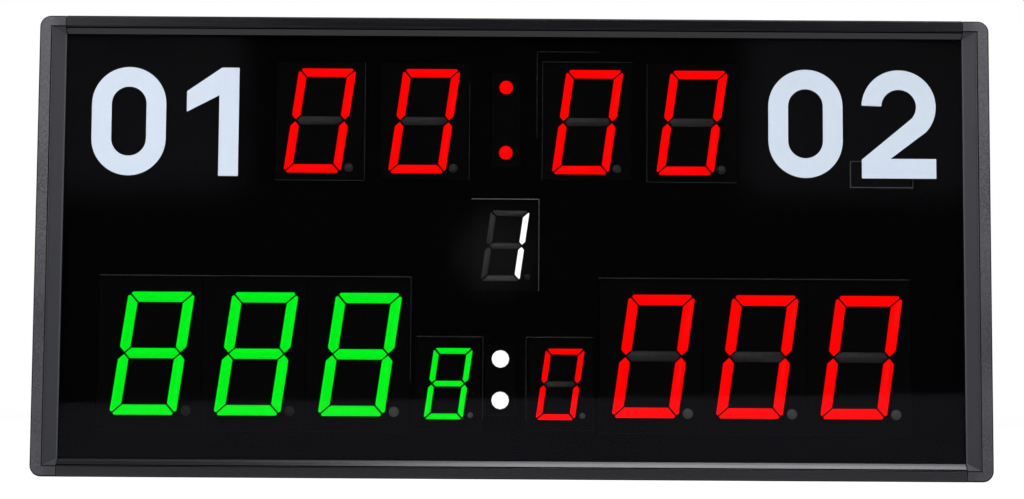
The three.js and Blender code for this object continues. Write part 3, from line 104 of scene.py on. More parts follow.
class Value:
    """A node's output that can be used in sums like a number."""

    def __init__(self, nodes, socket):
        self.nodes = nodes
        self.socket = socket

    def maths(self, operation, *others):
        """A Math node with this value as its first input."""
        inputs = dict(enumerate((self, *others)))
        return self.nodes.node("ShaderNodeMath", {"operation": operation}, inputs)

    def __add__(self, other):
        return self.maths("ADD", other)

    def __sub__(self, other):
        return self.maths("SUBTRACT", other)

    def __rsub__(self, other):
        return self * -1.0 + other

    def __mul__(self, other):
        return self.maths("MULTIPLY", other)

    __radd__ = __add__
    __rmul__ = __mul__

    def rise(self, low, high):
        """0 below low and 1 above high, or the other way round where low is the larger."""
        numbers = {"Value": self, "From Min": low, "From Max": high}
        return self.nodes.node("ShaderNodeMapRange", {"interpolation_type": "SMOOTHSTEP"}, numbers)

    def blend(self, first, second):
        """The first colour where this is 0 and the second where it is 1."""
        return self.nodes.node("ShaderNodeMix", {"data_type": "RGBA"}, {0: self, 6: first, 7: second}, 2)

    def wave(self, pitch):
        """A soft wave from 0 to 1 that repeats at each pitch."""
        return (self * (2 * math.pi / pitch)).maths("SINE") * 0.5 + 0.5


class Nodes:
    """A node tree that is filled by one method."""

    def __init__(self, tree):
        self.tree = tree

    def node(self, kind, settings=None, inputs=None, output=0):
        """A node of this kind, with its settings made first and its inputs fed after them."""
        made = self.tree.nodes.new(kind)
        for name, setting in (settings or {}).items():
            setattr(made, name, setting)
        for key, value in (inputs or {}).items():
            self.feed(made.inputs[key], value)
        return Value(self, made.outputs[output])

    def feed(self, socket, value):
        if isinstance(value, Value):
            self.tree.links.new(value.socket, socket)
        else:
            socket.default_value = value


class Finish(Nodes):
    """A material on one Principled shader, with its patterns laid out on Object coordinates."""

    def __init__(self, name, **sockets):
        self.material = bpy.data.materials.new(name)
        self.material.use_nodes = True
        super().__init__(self.material.node_tree)
        self.shader = self.tree.nodes["Principled BSDF"]
        self.place = self.node("ShaderNodeTexCoord", output="Object")
        parts = self.node("ShaderNodeSeparateXYZ", inputs={0: self.place}).socket.node
        self.x, self.y, self.z = [Value(self, socket) for socket in parts.outputs]
        self.aside = self.x.maths("ABSOLUTE")
        self.off_middle = (self.z - MIDDLE_HEIGHT * MM).maths("ABSOLUTE")
        for socket_name, value in sockets.items():
            self.set(socket_name.replace("_", " "), value)

    def set(self, socket_name, value):
        self.feed(self.shader.inputs[socket_name], value)

    def grain(self, size, stretch=(1, 1, 1), detail=2.0):
        """Noise from 0 to 1 whose patches are about this size in millimetres."""
        steps = tuple(1 / (size * MM * share) for share in stretch)
        spots = self.node("ShaderNodeVectorMath", {"operation": "MULTIPLY"}, {0: self.place, 1: steps})
        return self.node("ShaderNodeTexNoise", inputs={"Vector": spots, "Scale": 1.0, "Detail": detail})

    def mark(self, attribute):
        """A number that the mesh carries on its faces."""
        settings = {"attribute_type": "GEOMETRY", "attribute_name": attribute}
        return self.node("ShaderNodeAttribute", settings, output="Fac")

    def relief(self, height, millimetres):
        """Raises the surface by up to this many millimetres where the height is 1."""
        numbers = {"Height": height, "Distance": millimetres * MM, "Strength": 1.0}
        self.set("Normal", self.node("ShaderNodeBump", inputs=numbers))


def between(value, start, full, full_end, end):
    """1 from full to full_end, and 0 outside start and end."""
    return value.rise(start, full) * value.rise(end, full_end)


def painted_edge_shade(finish, deepest):
    """Painted shade in the fine groove and just behind the front edges, down to this depth."""
    return between(finish.y, depth(0.05), depth(0.25), depth(deepest), depth(deepest + 0.25))


def strongest(*masks):
    """The largest of several masks at each place."""
    result = masks[0]
    for mask in masks[1:]:
        result = result.maths("MAXIMUM", mask)
    return result


def fine_groove(finish):
    """The groove between the end cap's flat face and its slopes, with the ridge beside it."""
    sideways = finish.aside - (HALF_LENGTH - CAP_BAND) * MM
    outward = strongest(sideways, finish.off_middle - (MIDDLE_HEIGHT - RAIL_BAND) * MM)
    across = between(outward, -0.2 * MM, -0.1 * MM, GROOVE_WIDTH * MM, (GROOVE_WIDTH + 0.1) * MM)
    return across * between(finish.y, depth(0.01), depth(0.05), depth(0.8), depth(1.0))


def rim(finish, width):
    """The outermost band of the front, this many millimetres wide, with its rounded corners."""
    along = (finish.aside - (HALF_LENGTH - CORNER_RADIUS) * MM).maths("MAXIMUM", 0.0)
    upward = (finish.off_middle - (MIDDLE_HEIGHT - CORNER_RADIUS) * MM).maths("MAXIMUM", 0.0)
    reach = (along * along + upward * upward).maths("SQRT")
    front = finish.y.rise(depth(1.2), depth(0.6))
    inner = CORNER_RADIUS - width
    return reach.rise((inner - 0.25) * MM, (inner + 0.2) * MM) * front


def rail_metal():
    """Brushed and painted, with dust on the bottom slope, and painted shade along the groove, the window's
    edge and the outline.
    """
    finish = Finish("rail_metal")
    streaks = finish.grain(0.5, (90, 1, 1), 3.0)
    blotches = finish.grain(60, (2, 1, 1))
    wear_and_highlight = finish.mark("wear_and_highlight")
    inside = finish.off_middle.rise(0.1364, 0.1358)
    # A painted shadow line on the slope where it meets the window.
    window_shadow_line = inside * between(finish.y, depth(3.7), depth(3.95), depth(5.2), depth(5.5))
    painted_shade = strongest(painted_edge_shade(finish, 0.75), window_shadow_line, rim(finish, 0.5))
    dust = inside * finish.z.rise(0.1, 0.05) * finish.y.rise(depth(2.5), depth(2.75))
    coat = (streaks * 0.7 + blotches * 0.3).rise(0.25, 0.75).blend(tone("0a0a0d"), tone("111115"))
    # Rounded edges made lighter, as wear and as a painted highlight.
    coat = (wear_and_highlight * 0.35).blend(coat, tone("48484c"))
    # Painted shade: black, metallic and rough in the groove, along the window's edge and round the
    # outline.
    finish.set("Base Color", (painted_shade * 0.95).blend(coat, tone("020203")))
    finish.set("Metallic", painted_shade)
    finish.set("Roughness", 0.2 + streaks * 0.12 + dust * 0.08 + painted_shade * 0.5)
    finish.set("Specular IOR Level", 0.4)
    finish.set("Specular Tint", (0.95, 0.93, 1.0, 1.0))
    finish.relief(streaks, 0.006)
    return finish.material


def cap_plastic():
    """Finely grained on its outer faces and smoother on its slopes, with painted shade on its slopes, in
    its groove, along its outline and in the joint, painted highlights on its edges, and painted light
    towards the top.
    """
    finish = Finish("cap_plastic")
    pits = finish.grain(1.3, detail=4.0)
    blotches = finish.grain(45)
    rubbed = finish.grain(12).rise(0.35, 0.6)
    wear_and_highlight = finish.mark("wear_and_highlight")
    # Painted light: lighter towards the top.
    painted_top_light = finish.z.rise(0.08, 0.3)
    inside = finish.aside.rise(0.2928, 0.2920) * finish.off_middle.rise(0.1388, 0.1378)
    slope = inside * between(finish.y, depth(0.1), depth(0.4), depth(4.6), depth(5.0))
    # A painted highlight along the slope's inner edge by the window.
    painted_inner_highlight = inside * between(finish.y, depth(3.75), depth(3.95), depth(4.3), depth(4.5))
    # Painted shade: the plugs seen in the joint gap are made black.
    joint_gap_shade = finish.aside.rise(0.28345, 0.28325)
    # Painted shade in the groove, a little stronger towards the top.
    groove_shade_strength = 0.74 + finish.z.rise(0.12, 0.22) * 0.2
    groove = fine_groove(finish) * groove_shade_strength
    # Painted shade: black and metallic in the groove, behind the front edges, round the outline and in the
    # joint gap.
    painted_shade = strongest(groove, painted_edge_shade(finish, 0.45) * 0.22, rim(finish, 0.9) * 0.75, joint_gap_shade)
    arms = finish.aside.rise(0.2935, 0.2865)
    texture = pits * (1 - slope * 0.7)
    contrast = (rubbed * 0.8 + 0.3) * (0.3 + finish.z.rise(0.1, 0.22) * 0.9)
    specks = (pits.rise(0.38, 0.62) - 0.5) * contrast
    coat = (blotches + specks).rise(0.0, 1.0).blend(tone("2b2b2f"), tone("4b4b4f"))
    coat = (painted_top_light * 0.5).blend(coat, tone("5c5c60"))
    coat = (arms * 0.55).blend(coat, tone("28292d"))
    # Painted shade: the slopes darker than the face, and a little lighter towards the top.
    coat = slope.blend(coat, painted_top_light.blend(tone("26272c"), tone("2b2b2f")))
    # Painted highlights on the rounded edges and on the slope's inner edge, partly also wear.
    coat = strongest(wear_and_highlight * 0.35, painted_inner_highlight * 0.5).blend(coat, tone("505055"))
    finish.set("Base Color", painted_shade.blend(coat, tone("040405")))
    finish.set("Metallic", painted_shade)
    finish.set("Roughness", 0.56 + texture * 0.16 - slope * 0.1 + painted_shade * 0.1)
    finish.set("Specular IOR Level", 0.3)
    finish.set("Specular Tint", (0.96, 0.95, 1.0, 1.0))
    finish.relief(texture, 0.06)
    return finish.material


def smoked_acrylic():
    """Dark, glossy and half see-through, paler round the numerals, with a painted glow beside the period
    digit.
    """
    finish = Finish("smoked_acrylic")
    dust = finish.grain(2.2, detail=4.0).rise(0.62, 0.8)
    haze = finish.grain(70)
    across = finish.x - PERIOD_GLOW_CENTRE[0] * MM
    upward = finish.z - PERIOD_GLOW_CENTRE[1] * MM
    # Painted glow beside the period digit, standing in for light from its white segments.
    period_glow = (across * across + upward * upward).maths("SQRT").rise(0.036, 0.01)
    round_numerals = across.maths("ABSOLUTE").rise(0.143, 0.175) * finish.z.rise(0.162, 0.2)
    coat = (round_numerals * (0.6 + haze * 0.8)).blend(tone("010102"), tone("100f11"))
    coat = (period_glow * 0.8).blend(coat, tone("131313"))
    finish.set("Base Color", (dust * 0.2).blend(coat, tone("141417")))
    finish.set("Roughness", 0.02 + haze * 0.02 + dust * 0.01)
    finish.set("Alpha", 0.5)
    finish.set("Specular IOR Level", 0.12)
    finish.set("Specular Tint", (0.84, 0.78, 1.0, 1.0))
    return finish.material


def mask_black():
    """The matt black sheet behind the window."""
    finish = Finish("mask_black")
    weave = finish.grain(0.25)
    finish.set("Base Color", weave.rise(0.3, 0.7).blend(tone("060607"), tone("0c0c0e")))
    finish.set("Roughness", 0.75 + weave * 0.15)
    finish.set("Specular IOR Level", 0.2)
    finish.relief(weave, 0.02)
    return finish.material


def housing_black():
    """The fine-grained black of the digits' housings."""
    finish = Finish("housing_black")
    grit = finish.grain(0.4, detail=3.0)
    finish.set("Base Color", grit.rise(0.3, 0.7).blend(tone("070708"), tone("0e0e10")))
    finish.set("Roughness", 0.55 + grit * 0.2)
    finish.set("Specular IOR Level", 0.3)
    finish.relief(grit, 0.015)
    return finish.material


def resin_light(name, colour, off_low, off_high, off_point):
    """The clouded resin of a digit, which shines in its colour where the mesh is marked as lit."""
    finish = Finish(name, Roughness=0.42, Specular_IOR_Level=0.25)
    cloud = finish.grain(3.0).rise(0.3, 0.7)
    lit = finish.mark("lit")
    pale = finish.mark("point") * finish.x.rise(-0.15, -0.08) * finish.z.rise(0.16, 0.14)
    off = cloud.blend(tone(off_low), tone(off_high))
    off = (pale * 0.8).blend(off, tone(off_point))
    finish.set("Base Color", lit.blend(off, colour))
    on = cloud.blend(tuple(part * 0.94 for part in colour[:3]) + (1.0,), colour)
    finish.set("Emission Color", lit.blend(BLACK, on))
    finish.set("Emission Strength", LIGHT_STRENGTH)
    return finish.material


def circuit_board(name, mask, mask_light, track):
    """Solder mask over fine tracks, and dark bodies for what is soldered on behind."""
    finish = Finish(name)
    patches = finish.grain(6)
    tracks = finish.x.wave(CIRCUIT_TRACK_PITCH * MM).rise(0.62, 0.7)
    tracks *= finish.grain(9, (1, 1, 4)).rise(0.48, 0.52)
    coat = patches.rise(0.3, 0.7).blend(tone(mask), tone(mask_light))
    coat = (tracks * 0.5).blend(coat, tone(track))
    body = finish.y.rise(depth(BOARD_REAR + 0.05), depth(BOARD_REAR + 0.15))
    finish.set("Base Color", body.blend(coat, tone("202022")))
    finish.set("Roughness", 0.32 + body * 0.25 + patches * 0.06)
    finish.relief(tracks * (1 - body), 0.035)
    return finish.material


def powder_coat(name, low, high, edge):
    """A fine textured coat on sheet steel, rubbed through along its edges."""
    finish = Finish(name)
    skin = finish.grain(0.7, detail=3.0)
    blotches = finish.grain(40)
    wear_and_highlight = finish.mark("wear_and_highlight") * finish.grain(5, detail=3.0).rise(0.35, 0.7)
    coat = (skin * 0.6 + blotches * 0.4).rise(0.3, 0.7).blend(tone(low), tone(high))
    finish.set("Base Color", (wear_and_highlight * 0.55).blend(coat, tone(edge)))
    finish.set("Roughness", 0.44 + skin * 0.2 - wear_and_highlight * 0.12)
    finish.set("Metallic", wear_and_highlight * 0.6)
    finish.relief(skin, 0.05)
    return finish.material


def screw_steel():
    """Bare steel with fine scratches and stains."""
    finish = Finish("screw_steel", Metallic=1.0)
    scratches = finish.grain(0.3, (1, 6, 1), 3.0)
    stains = finish.grain(2.5)
    finish.set("Base Color", stains.rise(0.3, 0.75).blend(tone("8b8b8d"), tone("a5a5a6")))
    finish.set("Roughness", 0.28 + scratches * 0.2)
    finish.relief(scratches, 0.01)
    return finish.material


def black_screw():
    """Blackened steel, a little stained."""
    finish = Finish("blackened_screw", Metallic=0.8)
    stains = finish.grain(1.5, detail=3.0)
    finish.set("Base Color", stains.rise(0.35, 0.75).blend(tone("26262a"), tone("3a3a3e")))
    finish.set("Roughness", 0.34 + stains * 0.2)
    finish.relief(stains, 0.01)
    return finish.material


def black_plastic():
    """Spark-eroded moulded plastic, paler along its edges."""
    finish = Finish("black_plastic")
    spark = finish.grain(0.22)
    wear_and_highlight = finish.mark("wear_and_highlight")
    coat = spark.rise(0.3, 0.7).blend(tone("141416"), tone("1b1b1e"))
    finish.set("Base Color", (wear_and_highlight * 0.5).blend(coat, tone("303034")))
    finish.set("Roughness", 0.36 + spark * 0.16 - wear_and_highlight * 0.08)
    finish.relief(spark, 0.012)
    return finish.material


def ribbon_grey():
    """A flat cable's grey sleeve, ribbed over its wires."""
    finish = Finish("ribbon_grey")
    wires = finish.x.wave(WIRE_PITCH * MM)
    fuzz = finish.grain(1.2)
    sleeve = (wires * 0.7 + fuzz * 0.3).blend(tone("6d6d72"), tone("96969b"))
    finish.set("Base Color", sleeve)
    finish.set("Roughness", 0.55 + fuzz * 0.15)
    finish.relief(wires, 0.35)
    return finish.material


def print_white():
    """Opaque white ink with a faint blue cast."""
    finish = Finish("print_white")
    speck = finish.grain(0.5, detail=3.0)
    finish.set("Base Color", speck.rise(0.3, 0.7).blend(tone("bdc8d7"), tone("c3cddc")))
    finish.set("Roughness", 0.5 + speck * 0.15)
    return finish.material


def painted_edge_highlight():
    """Painted highlights along the openings' edges: light grey, with a painted glow where marked, standing
    in for light from the digits.
    """
    finish = Finish("painted_edge_highlight")
    speck = finish.grain(3.0)
    # Painted highlight: light grey strips in place of light on the openings' edges.
    finish.set("Base Color", speck.rise(0.3, 0.7).blend(tone("9a9ca0"), tone("babcc0")))
    finish.set("Roughness", 0.4 + speck * 0.1)
    # Painted glow where a strip is marked, in place of light caught from the digits.
    glow_share = finish.mark("painted_glow") * (0.7 + speck * 0.6)
    finish.set("Emission Color", glow_share.blend(BLACK, (0.3, 0.3, 0.32, 1.0)))
    finish.set("Emission Strength", 1.0)
    return finish.material


finishes = {
    "rail_metal": rail_metal(),
    "cap_plastic": cap_plastic(),
    "smoked_acrylic": smoked_acrylic(),
    "mask_black": mask_black(),
    "housing_black": housing_black(),
    "red_light": resin_light("red_light", (1.0, 0.0, 0.0, 1.0), "8c8c8b", "989896", "eaeae8"),
    "green_light": resin_light("green_light", (0.0, 0.81, 0.009, 1.0), "686867", "747472", "eaeae8"),
    "white_light": resin_light("white_light", WHITE, "a4a4a3", "b2b2b0", "5a5855"),
    "circuit_board": circuit_board("circuit_board", "0c4a26", "125a30", "2d7d4c"),
    "back_metal": powder_coat("back_metal", "1d1d1f", "262629", "58585c"),
    "screw_steel": screw_steel(),
    "leg_steel": powder_coat("leg_steel", "202023", "2a2a2d", "6a6a6e"),
    "black_plastic": black_plastic(),
    "ribbon_grey": ribbon_grey(),
    "receiver_board": circuit_board("receiver_board", "0b0b0d", "111114", "1e1e22"),
    "print_white": print_white(),
    "painted_edge_highlight": painted_edge_highlight(),
    "black_screw": black_screw(),
}
slot_of = {row["node"]: row["material_slot"] for row in frame["record"]["subparts"]}
body_of = {node: body for body, nodes in frame["record"]["behaviour"]["bodies"].items() for node in nodes}

for node, shown in frame["nodes"].items():
    shown.data.materials.clear()
    shown.data.materials.append(finishes[slot_of[node]])
frame["nodes"]["receiver_board"].data.materials[0] = finishes["receiver_board"]


# Making pieces

MERGE_WITHIN = 0.001
FLAT_WITHIN = math.radians(0.5)
SHARP_OVER = math.radians(20)


def piece(name, shape, finish, body="root", smooth_under=40):
    """A finished object from a bmesh, which rides on its body."""
    mesh = bpy.data.meshes.new(name)
    shape.to_mesh(mesh)
    shape.free()
    made = bpy.data.objects.new(name, mesh)
    bpy.context.scene.collection.objects.link(made)
    mesh.materials.append(finish)
    mesh.polygons.foreach_set("use_smooth", [True] * len(mesh.polygons))
    mesh.set_sharp_from_angle(angle=math.radians(smooth_under))
    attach(made, body)
    return made


def plain_mesh(holder):
    """The object's mesh with its modifiers' results in it."""
    return bpy.data.meshes.new_from_object(holder.evaluated_get(bpy.context.evaluated_depsgraph_get()))


def merged_copy(node):
    """The node's own shape with its loose triangles joined."""
    shape = bmesh.new()
    shape.from_mesh(frame["nodes"][node].data)
    bmesh.ops.remove_doubles(shape, verts=shape.verts, dist=MERGE_WITHIN * MM)
    return shape


def dressed(node, rounding):
    """Takes the node's place with its edges rounded by this many millimetres and marked for edge wear and
    painted highlights.
    """
    shape = merged_copy(node)
    bmesh.ops.dissolve_limit(shape, angle_limit=FLAT_WITHIN, verts=shape.verts, edges=shape.edges)
    sharp = [line for line in shape.edges if line.is_manifold and line.calc_face_angle() > SHARP_OVER]
    wear_and_highlight = shape.faces.layers.float.new("wear_and_highlight")
    rounded = bmesh.ops.bevel(
        shape,
        geom=sharp,
        offset=rounding * MM,
        offset_type="OFFSET",
        segments=2,
        profile=0.5,
        affect="EDGES",
        clamp_overlap=False,
    )
    for face in rounded["faces"]:
        face[wear_and_highlight] = 1.0
    slot = slot_of[node]
    made = piece(f"{node}_dressed", shape, finishes[slot], body_of[node], smooth_under=50)
    made.modifiers.new("flat_faces", "WEIGHTED_NORMAL").keep_sharp = True
    made.data = plain_mesh(made)
    made.modifiers.clear()
    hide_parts(node)
    return made


def plate(shape, outline, holes, origin, right, up, thickness):
    """Adds a flat plate. The outline and its holes are points in millimetres on right and up."""
    loops = [outline, *holes]
    facing = right.cross(up).normalized()
    corners = [point for loop in loops for point in loop]
    flat = [[Vector((u, v, 0)) for u, v in loop] for loop in loops]
    triangles = tessellate_polygon(flat)
    places = [origin + right * (u * MM) + up * (v * MM) for u, v in corners]
    lifts = [facing * 0.0, facing * (thickness * MM)]
    layers = [[shape.verts.new(place + lift) for place in places] for lift in lifts]
    for triangle in triangles:
        for layer in layers:
            shape.faces.new([layer[i] for i in triangle])
    start = 0
    for loop in loops:
        count = len(loop)
        for i in range(count):
            first = start + i
            second = start + (i + 1) % count
            shape.faces.new([layers[0][first], layers[0][second], layers[1][second], layers[1][first]])
        start += count


def finished_plates(name, shape, finish, body="root"):
    """A piece from closed plates, with their faces turned outwards."""
    bmesh.ops.recalc_face_normals(shape, faces=shape.faces)
    return piece(name, shape, finish, body, smooth_under=30)


# Rounded edges for the case, the legs and the switch, in millimetres

EDGE_ROUNDINGS = {
    "top_rail": 0.1,
    "bottom_rail": 0.1,
    "left_end_cap": 0.12,
    "right_end_cap": 0.12,
    "back_panel": 0.12,
    "left_leg_bracket": 0.12,
    "left_leg": 0.15,
    "left_leg_pin": 0.2,
    "right_leg_bracket": 0.12,
    "right_leg": 0.15,
    "right_leg_pin": 0.2,
    "switch_body": 0.2,
    "switch_rocker": 0.2,
}
rounded_pieces = {node: dressed(node, rounding) for node, rounding in EDGE_ROUNDINGS.items()}


# The power inlet, turned round its own axis

INLET_PLACE = (214.0, 160.0)
INLET_FACE = 37.8
INLET_ROUNDING = 0.25
FLANGE_RADIUS = 7.5
FLANGE_THICKNESS = 1.8
SOCKET_RADIUS = 3.3
SOCKET_DEPTH = 10.0
PIN_RADIUS = 1.05
PIN_SETBACK = 1.0
INLET_BODY_RADIUS = 5.5
INLET_LENGTH = 14.0


def turned(shape, profile, place, steps=64):
    """Adds a closed solid of revolution. Its profile holds radii and depths, from axis to axis."""
    rings = []
    for radius, level in profile:
        count = 1 if radius == 0 else steps
        turns = [2 * math.pi * i / steps for i in range(count)]
        points = [(place[0] + radius * math.cos(t), place[1] + radius * math.sin(t)) for t in turns]
        rings.append([shape.verts.new((x * MM, depth(level), z * MM)) for x, z in points])
    for first, second in zip(rings, rings[1:]):
        for i in range(steps):
            after = (i + 1) % steps
            corners = [first[i % len(first)], first[after % len(first)]]
            corners += [second[after % len(second)], second[i % len(second)]]
            shape.faces.new(list(dict.fromkeys(corners)))


def round_inlet():
    """The flange with its rounded rim, the socket with its centre pin, and the body behind it."""
    pin_tip = INLET_FACE - PIN_SETBACK
    socket_floor = INLET_FACE - SOCKET_DEPTH
    flange_seat = INLET_FACE - FLANGE_THICKNESS
    inner_end = INLET_FACE - INLET_LENGTH
    profile = [
        (0, pin_tip),
        (PIN_RADIUS - INLET_ROUNDING, pin_tip),
        (PIN_RADIUS, pin_tip - INLET_ROUNDING),
        (PIN_RADIUS, socket_floor),
        (SOCKET_RADIUS, socket_floor),
        (SOCKET_RADIUS, INLET_FACE - INLET_ROUNDING),
        (SOCKET_RADIUS + INLET_ROUNDING, INLET_FACE),
        (FLANGE_RADIUS - INLET_ROUNDING, INLET_FACE),
        (FLANGE_RADIUS, INLET_FACE - INLET_ROUNDING),
        (FLANGE_RADIUS, flange_seat),
        (INLET_BODY_RADIUS, flange_seat),
        (INLET_BODY_RADIUS, inner_end),
        (0, inner_end),
    ]
    shape = bmesh.new()
    turned(shape, profile, INLET_PLACE)
    bmesh.ops.recalc_face_normals(shape, faces=shape.faces)
    made = piece("dc_inlet_dressed", shape, finishes["black_plastic"], smooth_under=50)
    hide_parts("dc_inlet")


round_inlet()


# The digits: which segments are lit

TIMER_DIGIT = {"width": 36.5, "height": 66.8, "stroke": 5.5, "shift": 0.0}
SCORE_DIGIT = {"width": 42.0, "height": 77.8, "stroke": 6.8, "shift": 1.5}
SMALL_DIGIT = {"width": 24.8, "height": 45.0, "stroke": 3.9, "shift": 0.0}
LIT_SEGMENTS = {"0": "abcdef", "1": "bc", "8": "abcdefg"}
POINT_CLEARANCE = 0.4
BAR_CLEARANCE = 0.2
BLOCK_SLACK = 0.05
SHOWN = {
    **{f"timer_digit_{i}": (TIMER_DIGIT, "0") for i in (1, 2, 3, 4)},
    **{f"home_score_digit_{i}": (SCORE_DIGIT, "8") for i in (1, 2, 3)},
    **{f"guest_score_digit_{i}": (SCORE_DIGIT, "0") for i in (1, 2, 3)},
    "home_foul_digit": (SMALL_DIGIT, "8"),
    "guest_foul_digit": (SMALL_DIGIT, "0"),
    "period_digit": (SMALL_DIGIT, "1"),
}


def segment_at(u, v, digit):
    """The letter of the segment at a point of the upright digit, or nothing at its round point."""
    half_stroke = digit["stroke"] / 2
    column = digit["width"] / 2 - half_stroke
    row = digit["height"] / 2 - half_stroke
    if u > digit["width"] / 2 + POINT_CLEARANCE:
        return ""
    if abs(v) < half_stroke + BAR_CLEARANCE and abs(v) < column - abs(u):
        return "g"
    if abs(v) - row > abs(u) - column:
        return "a" if v > 0 else "d"
    if u > 0:
        return "b" if v > 0 else "c"
    return "f" if v > 0 else "e"


def shining(node, digit=None, centre=(0, 0), letters=""):
    """The node's own shape, with the faces of its lit segments marked, or all in front for no digit."""
    shape = merged_copy(node)
    lit = shape.faces.layers.float.new("lit")
    point = shape.faces.layers.float.new("point")
    for face in shape.faces:
        middle = face.calc_center_median()
        if middle.y > depth(BLOCK_FRONT - BLOCK_SLACK):
            continue
        if digit is None:
            face[lit] = 1.0
            continue
        v = (middle.z - centre[1]) / MM
        u = (middle.x - centre[0]) / MM - v * SLANT
        letter = segment_at(u, v, digit)
        face[lit] = float(bool(letter) and letter in letters)
        face[point] = float(not letter)
    slot = slot_of[node]
    made = piece(f"{node}_shining", shape, finishes[slot])
    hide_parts(node)


for name, (digit, figure) in SHOWN.items():
    low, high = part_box(f"{name}_housing")
    middle = (low + high) / 2
    centre = (middle.x + digit["shift"] * MM, middle.z)
    shining(f"{name}_segments", digit, centre, LIT_SEGMENTS[figure])
for name in ("timer_colon_dots", "score_colon_dots"):
    shining(name)


# The plain numerals on the window: 01 on the left and 02 on the right

NUMERAL_HEIGHT = 69.0
NUMERAL_STROKE = 12.5
PRINT_THICKNESS = 0.05
FLAG_HEIGHT_SHARE = 0.78
FLAG_FOOT_SHARE = 1.05
FLAG_ROOT_SHARE = 0.2
FLAG_TOP_INSET = 1.5
ARCH_START = 178
ARCH_END = -42
SLOPE_END_SHARE = 1.45
SLOPE_FOOT_SHARE = 0.95


def arc(centre, radius, start, end, steps=24):
    """Points along an arc, from one angle to another in degrees."""
    turns = [math.radians(start + (end - start) * i / steps) for i in range(steps + 1)]
    return [(centre[0] + radius * math.cos(t), centre[1] + radius * math.sin(t)) for t in turns]


def zero(width):
    """A ring with straight sides, as an outline and its hole."""
    loops = []
    for inset in (0.0, NUMERAL_STROKE):
        radius = width / 2 - inset
        top = arc((width / 2, NUMERAL_HEIGHT - width / 2), radius, 0, 180)
        bottom = arc((width / 2, width / 2), radius, 180, 360)
        loops.append(top + bottom)
    return loops[0], [loops[1]]


def one(width):
    """A stem with a flag at its top left."""
    stem_left = width - NUMERAL_STROKE
    flag_end = NUMERAL_HEIGHT * FLAG_HEIGHT_SHARE
    return [
        (stem_left, 0),
        (width, 0),
        (width, NUMERAL_HEIGHT),
        (stem_left + FLAG_TOP_INSET, NUMERAL_HEIGHT),
        (0, flag_end),
        (0, flag_end - NUMERAL_STROKE * FLAG_FOOT_SHARE),
        (stem_left, flag_end - NUMERAL_STROKE * FLAG_ROOT_SHARE),
    ], []


def two(width):
    """An arch that runs down to a base bar in a straight slope."""
    centre = (width / 2, NUMERAL_HEIGHT - width / 2)
    outer = arc(centre, width / 2, ARCH_START, ARCH_END)
    inner = arc(centre, width / 2 - NUMERAL_STROKE, ARCH_END, ARCH_START)
    return [
        *outer,
        (NUMERAL_STROKE * SLOPE_END_SHARE, NUMERAL_STROKE),
        (width, NUMERAL_STROKE),
        (width, 0),
        (0, 0),
        (0, NUMERAL_STROKE * SLOPE_FOOT_SHARE),
        *inner,
    ], []


def numerals(name, left, foot, figures):
    """Numerals printed on the window's front, each with its width and the gap after it."""
    shape = bmesh.new()
    pen = left
    for figure, width, gap in figures:
        outline, holes = figure(width)
        origin = Vector((pen * MM, depth(WINDOW_FRONT), foot * MM))
        plate(shape, outline, holes, origin, RIGHTWARDS, UPWARDS, PRINT_THICKNESS)
        pen += width + gap
    finished_plates(name, shape, finishes["print_white"])


numerals("numerals_left", left=-267.0, foot=189.2, figures=[(zero, 47.0, 13.0), (one, 33.0, 0.0)])
numerals("numerals_right", left=161.0, foot=190.2, figures=[(zero, 47.0, 12.0), (two, 47.0, 0.0)])


# Painted highlights: thin light strips along the edges of some openings behind the window, some with a
# painted glow.
# A row holds the x and z of a line's two ends in millimetres, its width, and how strong its painted glow
# is.

EDGE_THICKNESS = 0.08
WIDE, FINE = 0.45, 0.24
PERIOD_EDGES = [
    (-26.2, 175.95, 16.25, 175.95, WIDE, 1.0),
    (16.25, 175.95, 16.25, 118.0, WIDE, 0.35),
]
SCORE_EDGES = [
    (-260.2, 126.3, -64.0, 126.3, WIDE, 0.0),
    (-64.0, 126.3, -64.0, 60.0, FINE, 0.0),
    (54.3, 126.3, 250.4, 126.3, WIDE, 0.0),
]
FOUL_EDGES = [
    (-60.1, 88.8, -18.6, 88.8, WIDE, 0.0),
    (-18.5, 88.8, -18.5, 36.8, FINE, 0.0),
    (8.6, 88.8, 50.0, 88.8, WIDE, 0.0),
    (8.6, 88.8, 8.6, 36.8, FINE, 0.0),
]
RECEIVER_EDGES = [
    (213.2, 201.25, 252.8, 201.25, WIDE, 0.5),
    (213.2, 184.75, 252.8, 184.75, WIDE, 0.5),
    (213.2, 201.25, 213.2, 184.75, WIDE, 0.5),
    (252.8, 201.25, 252.8, 184.75, WIDE, 0.3),
]
TIMER_EDGES = [
    (-94.4, 263.0, -94.4, 187.25, FINE, 0.0),
    (-151.0, 187.25, -94.4, 187.25, FINE, 0.0),
    (-28.1, 250.0, -28.1, 187.5, FINE, 0.0),
    (18.1, 263.75, 18.1, 188.0, FINE, 0.0),
    (18.1, 263.75, 75.0, 263.75, FINE, 0.0),
    (84.4, 263.0, 84.4, 187.25, FINE, 0.0),
    (84.4, 187.25, 141.0, 187.25, FINE, 0.0),
    (14.65, 270.2, 14.65, 215.0, FINE, 0.0),
    (14.65, 270.2, 55.0, 270.2, FINE, 0.0),
]
EDGE_LINES = PERIOD_EDGES + SCORE_EDGES + FOUL_EDGES + RECEIVER_EDGES + TIMER_EDGES


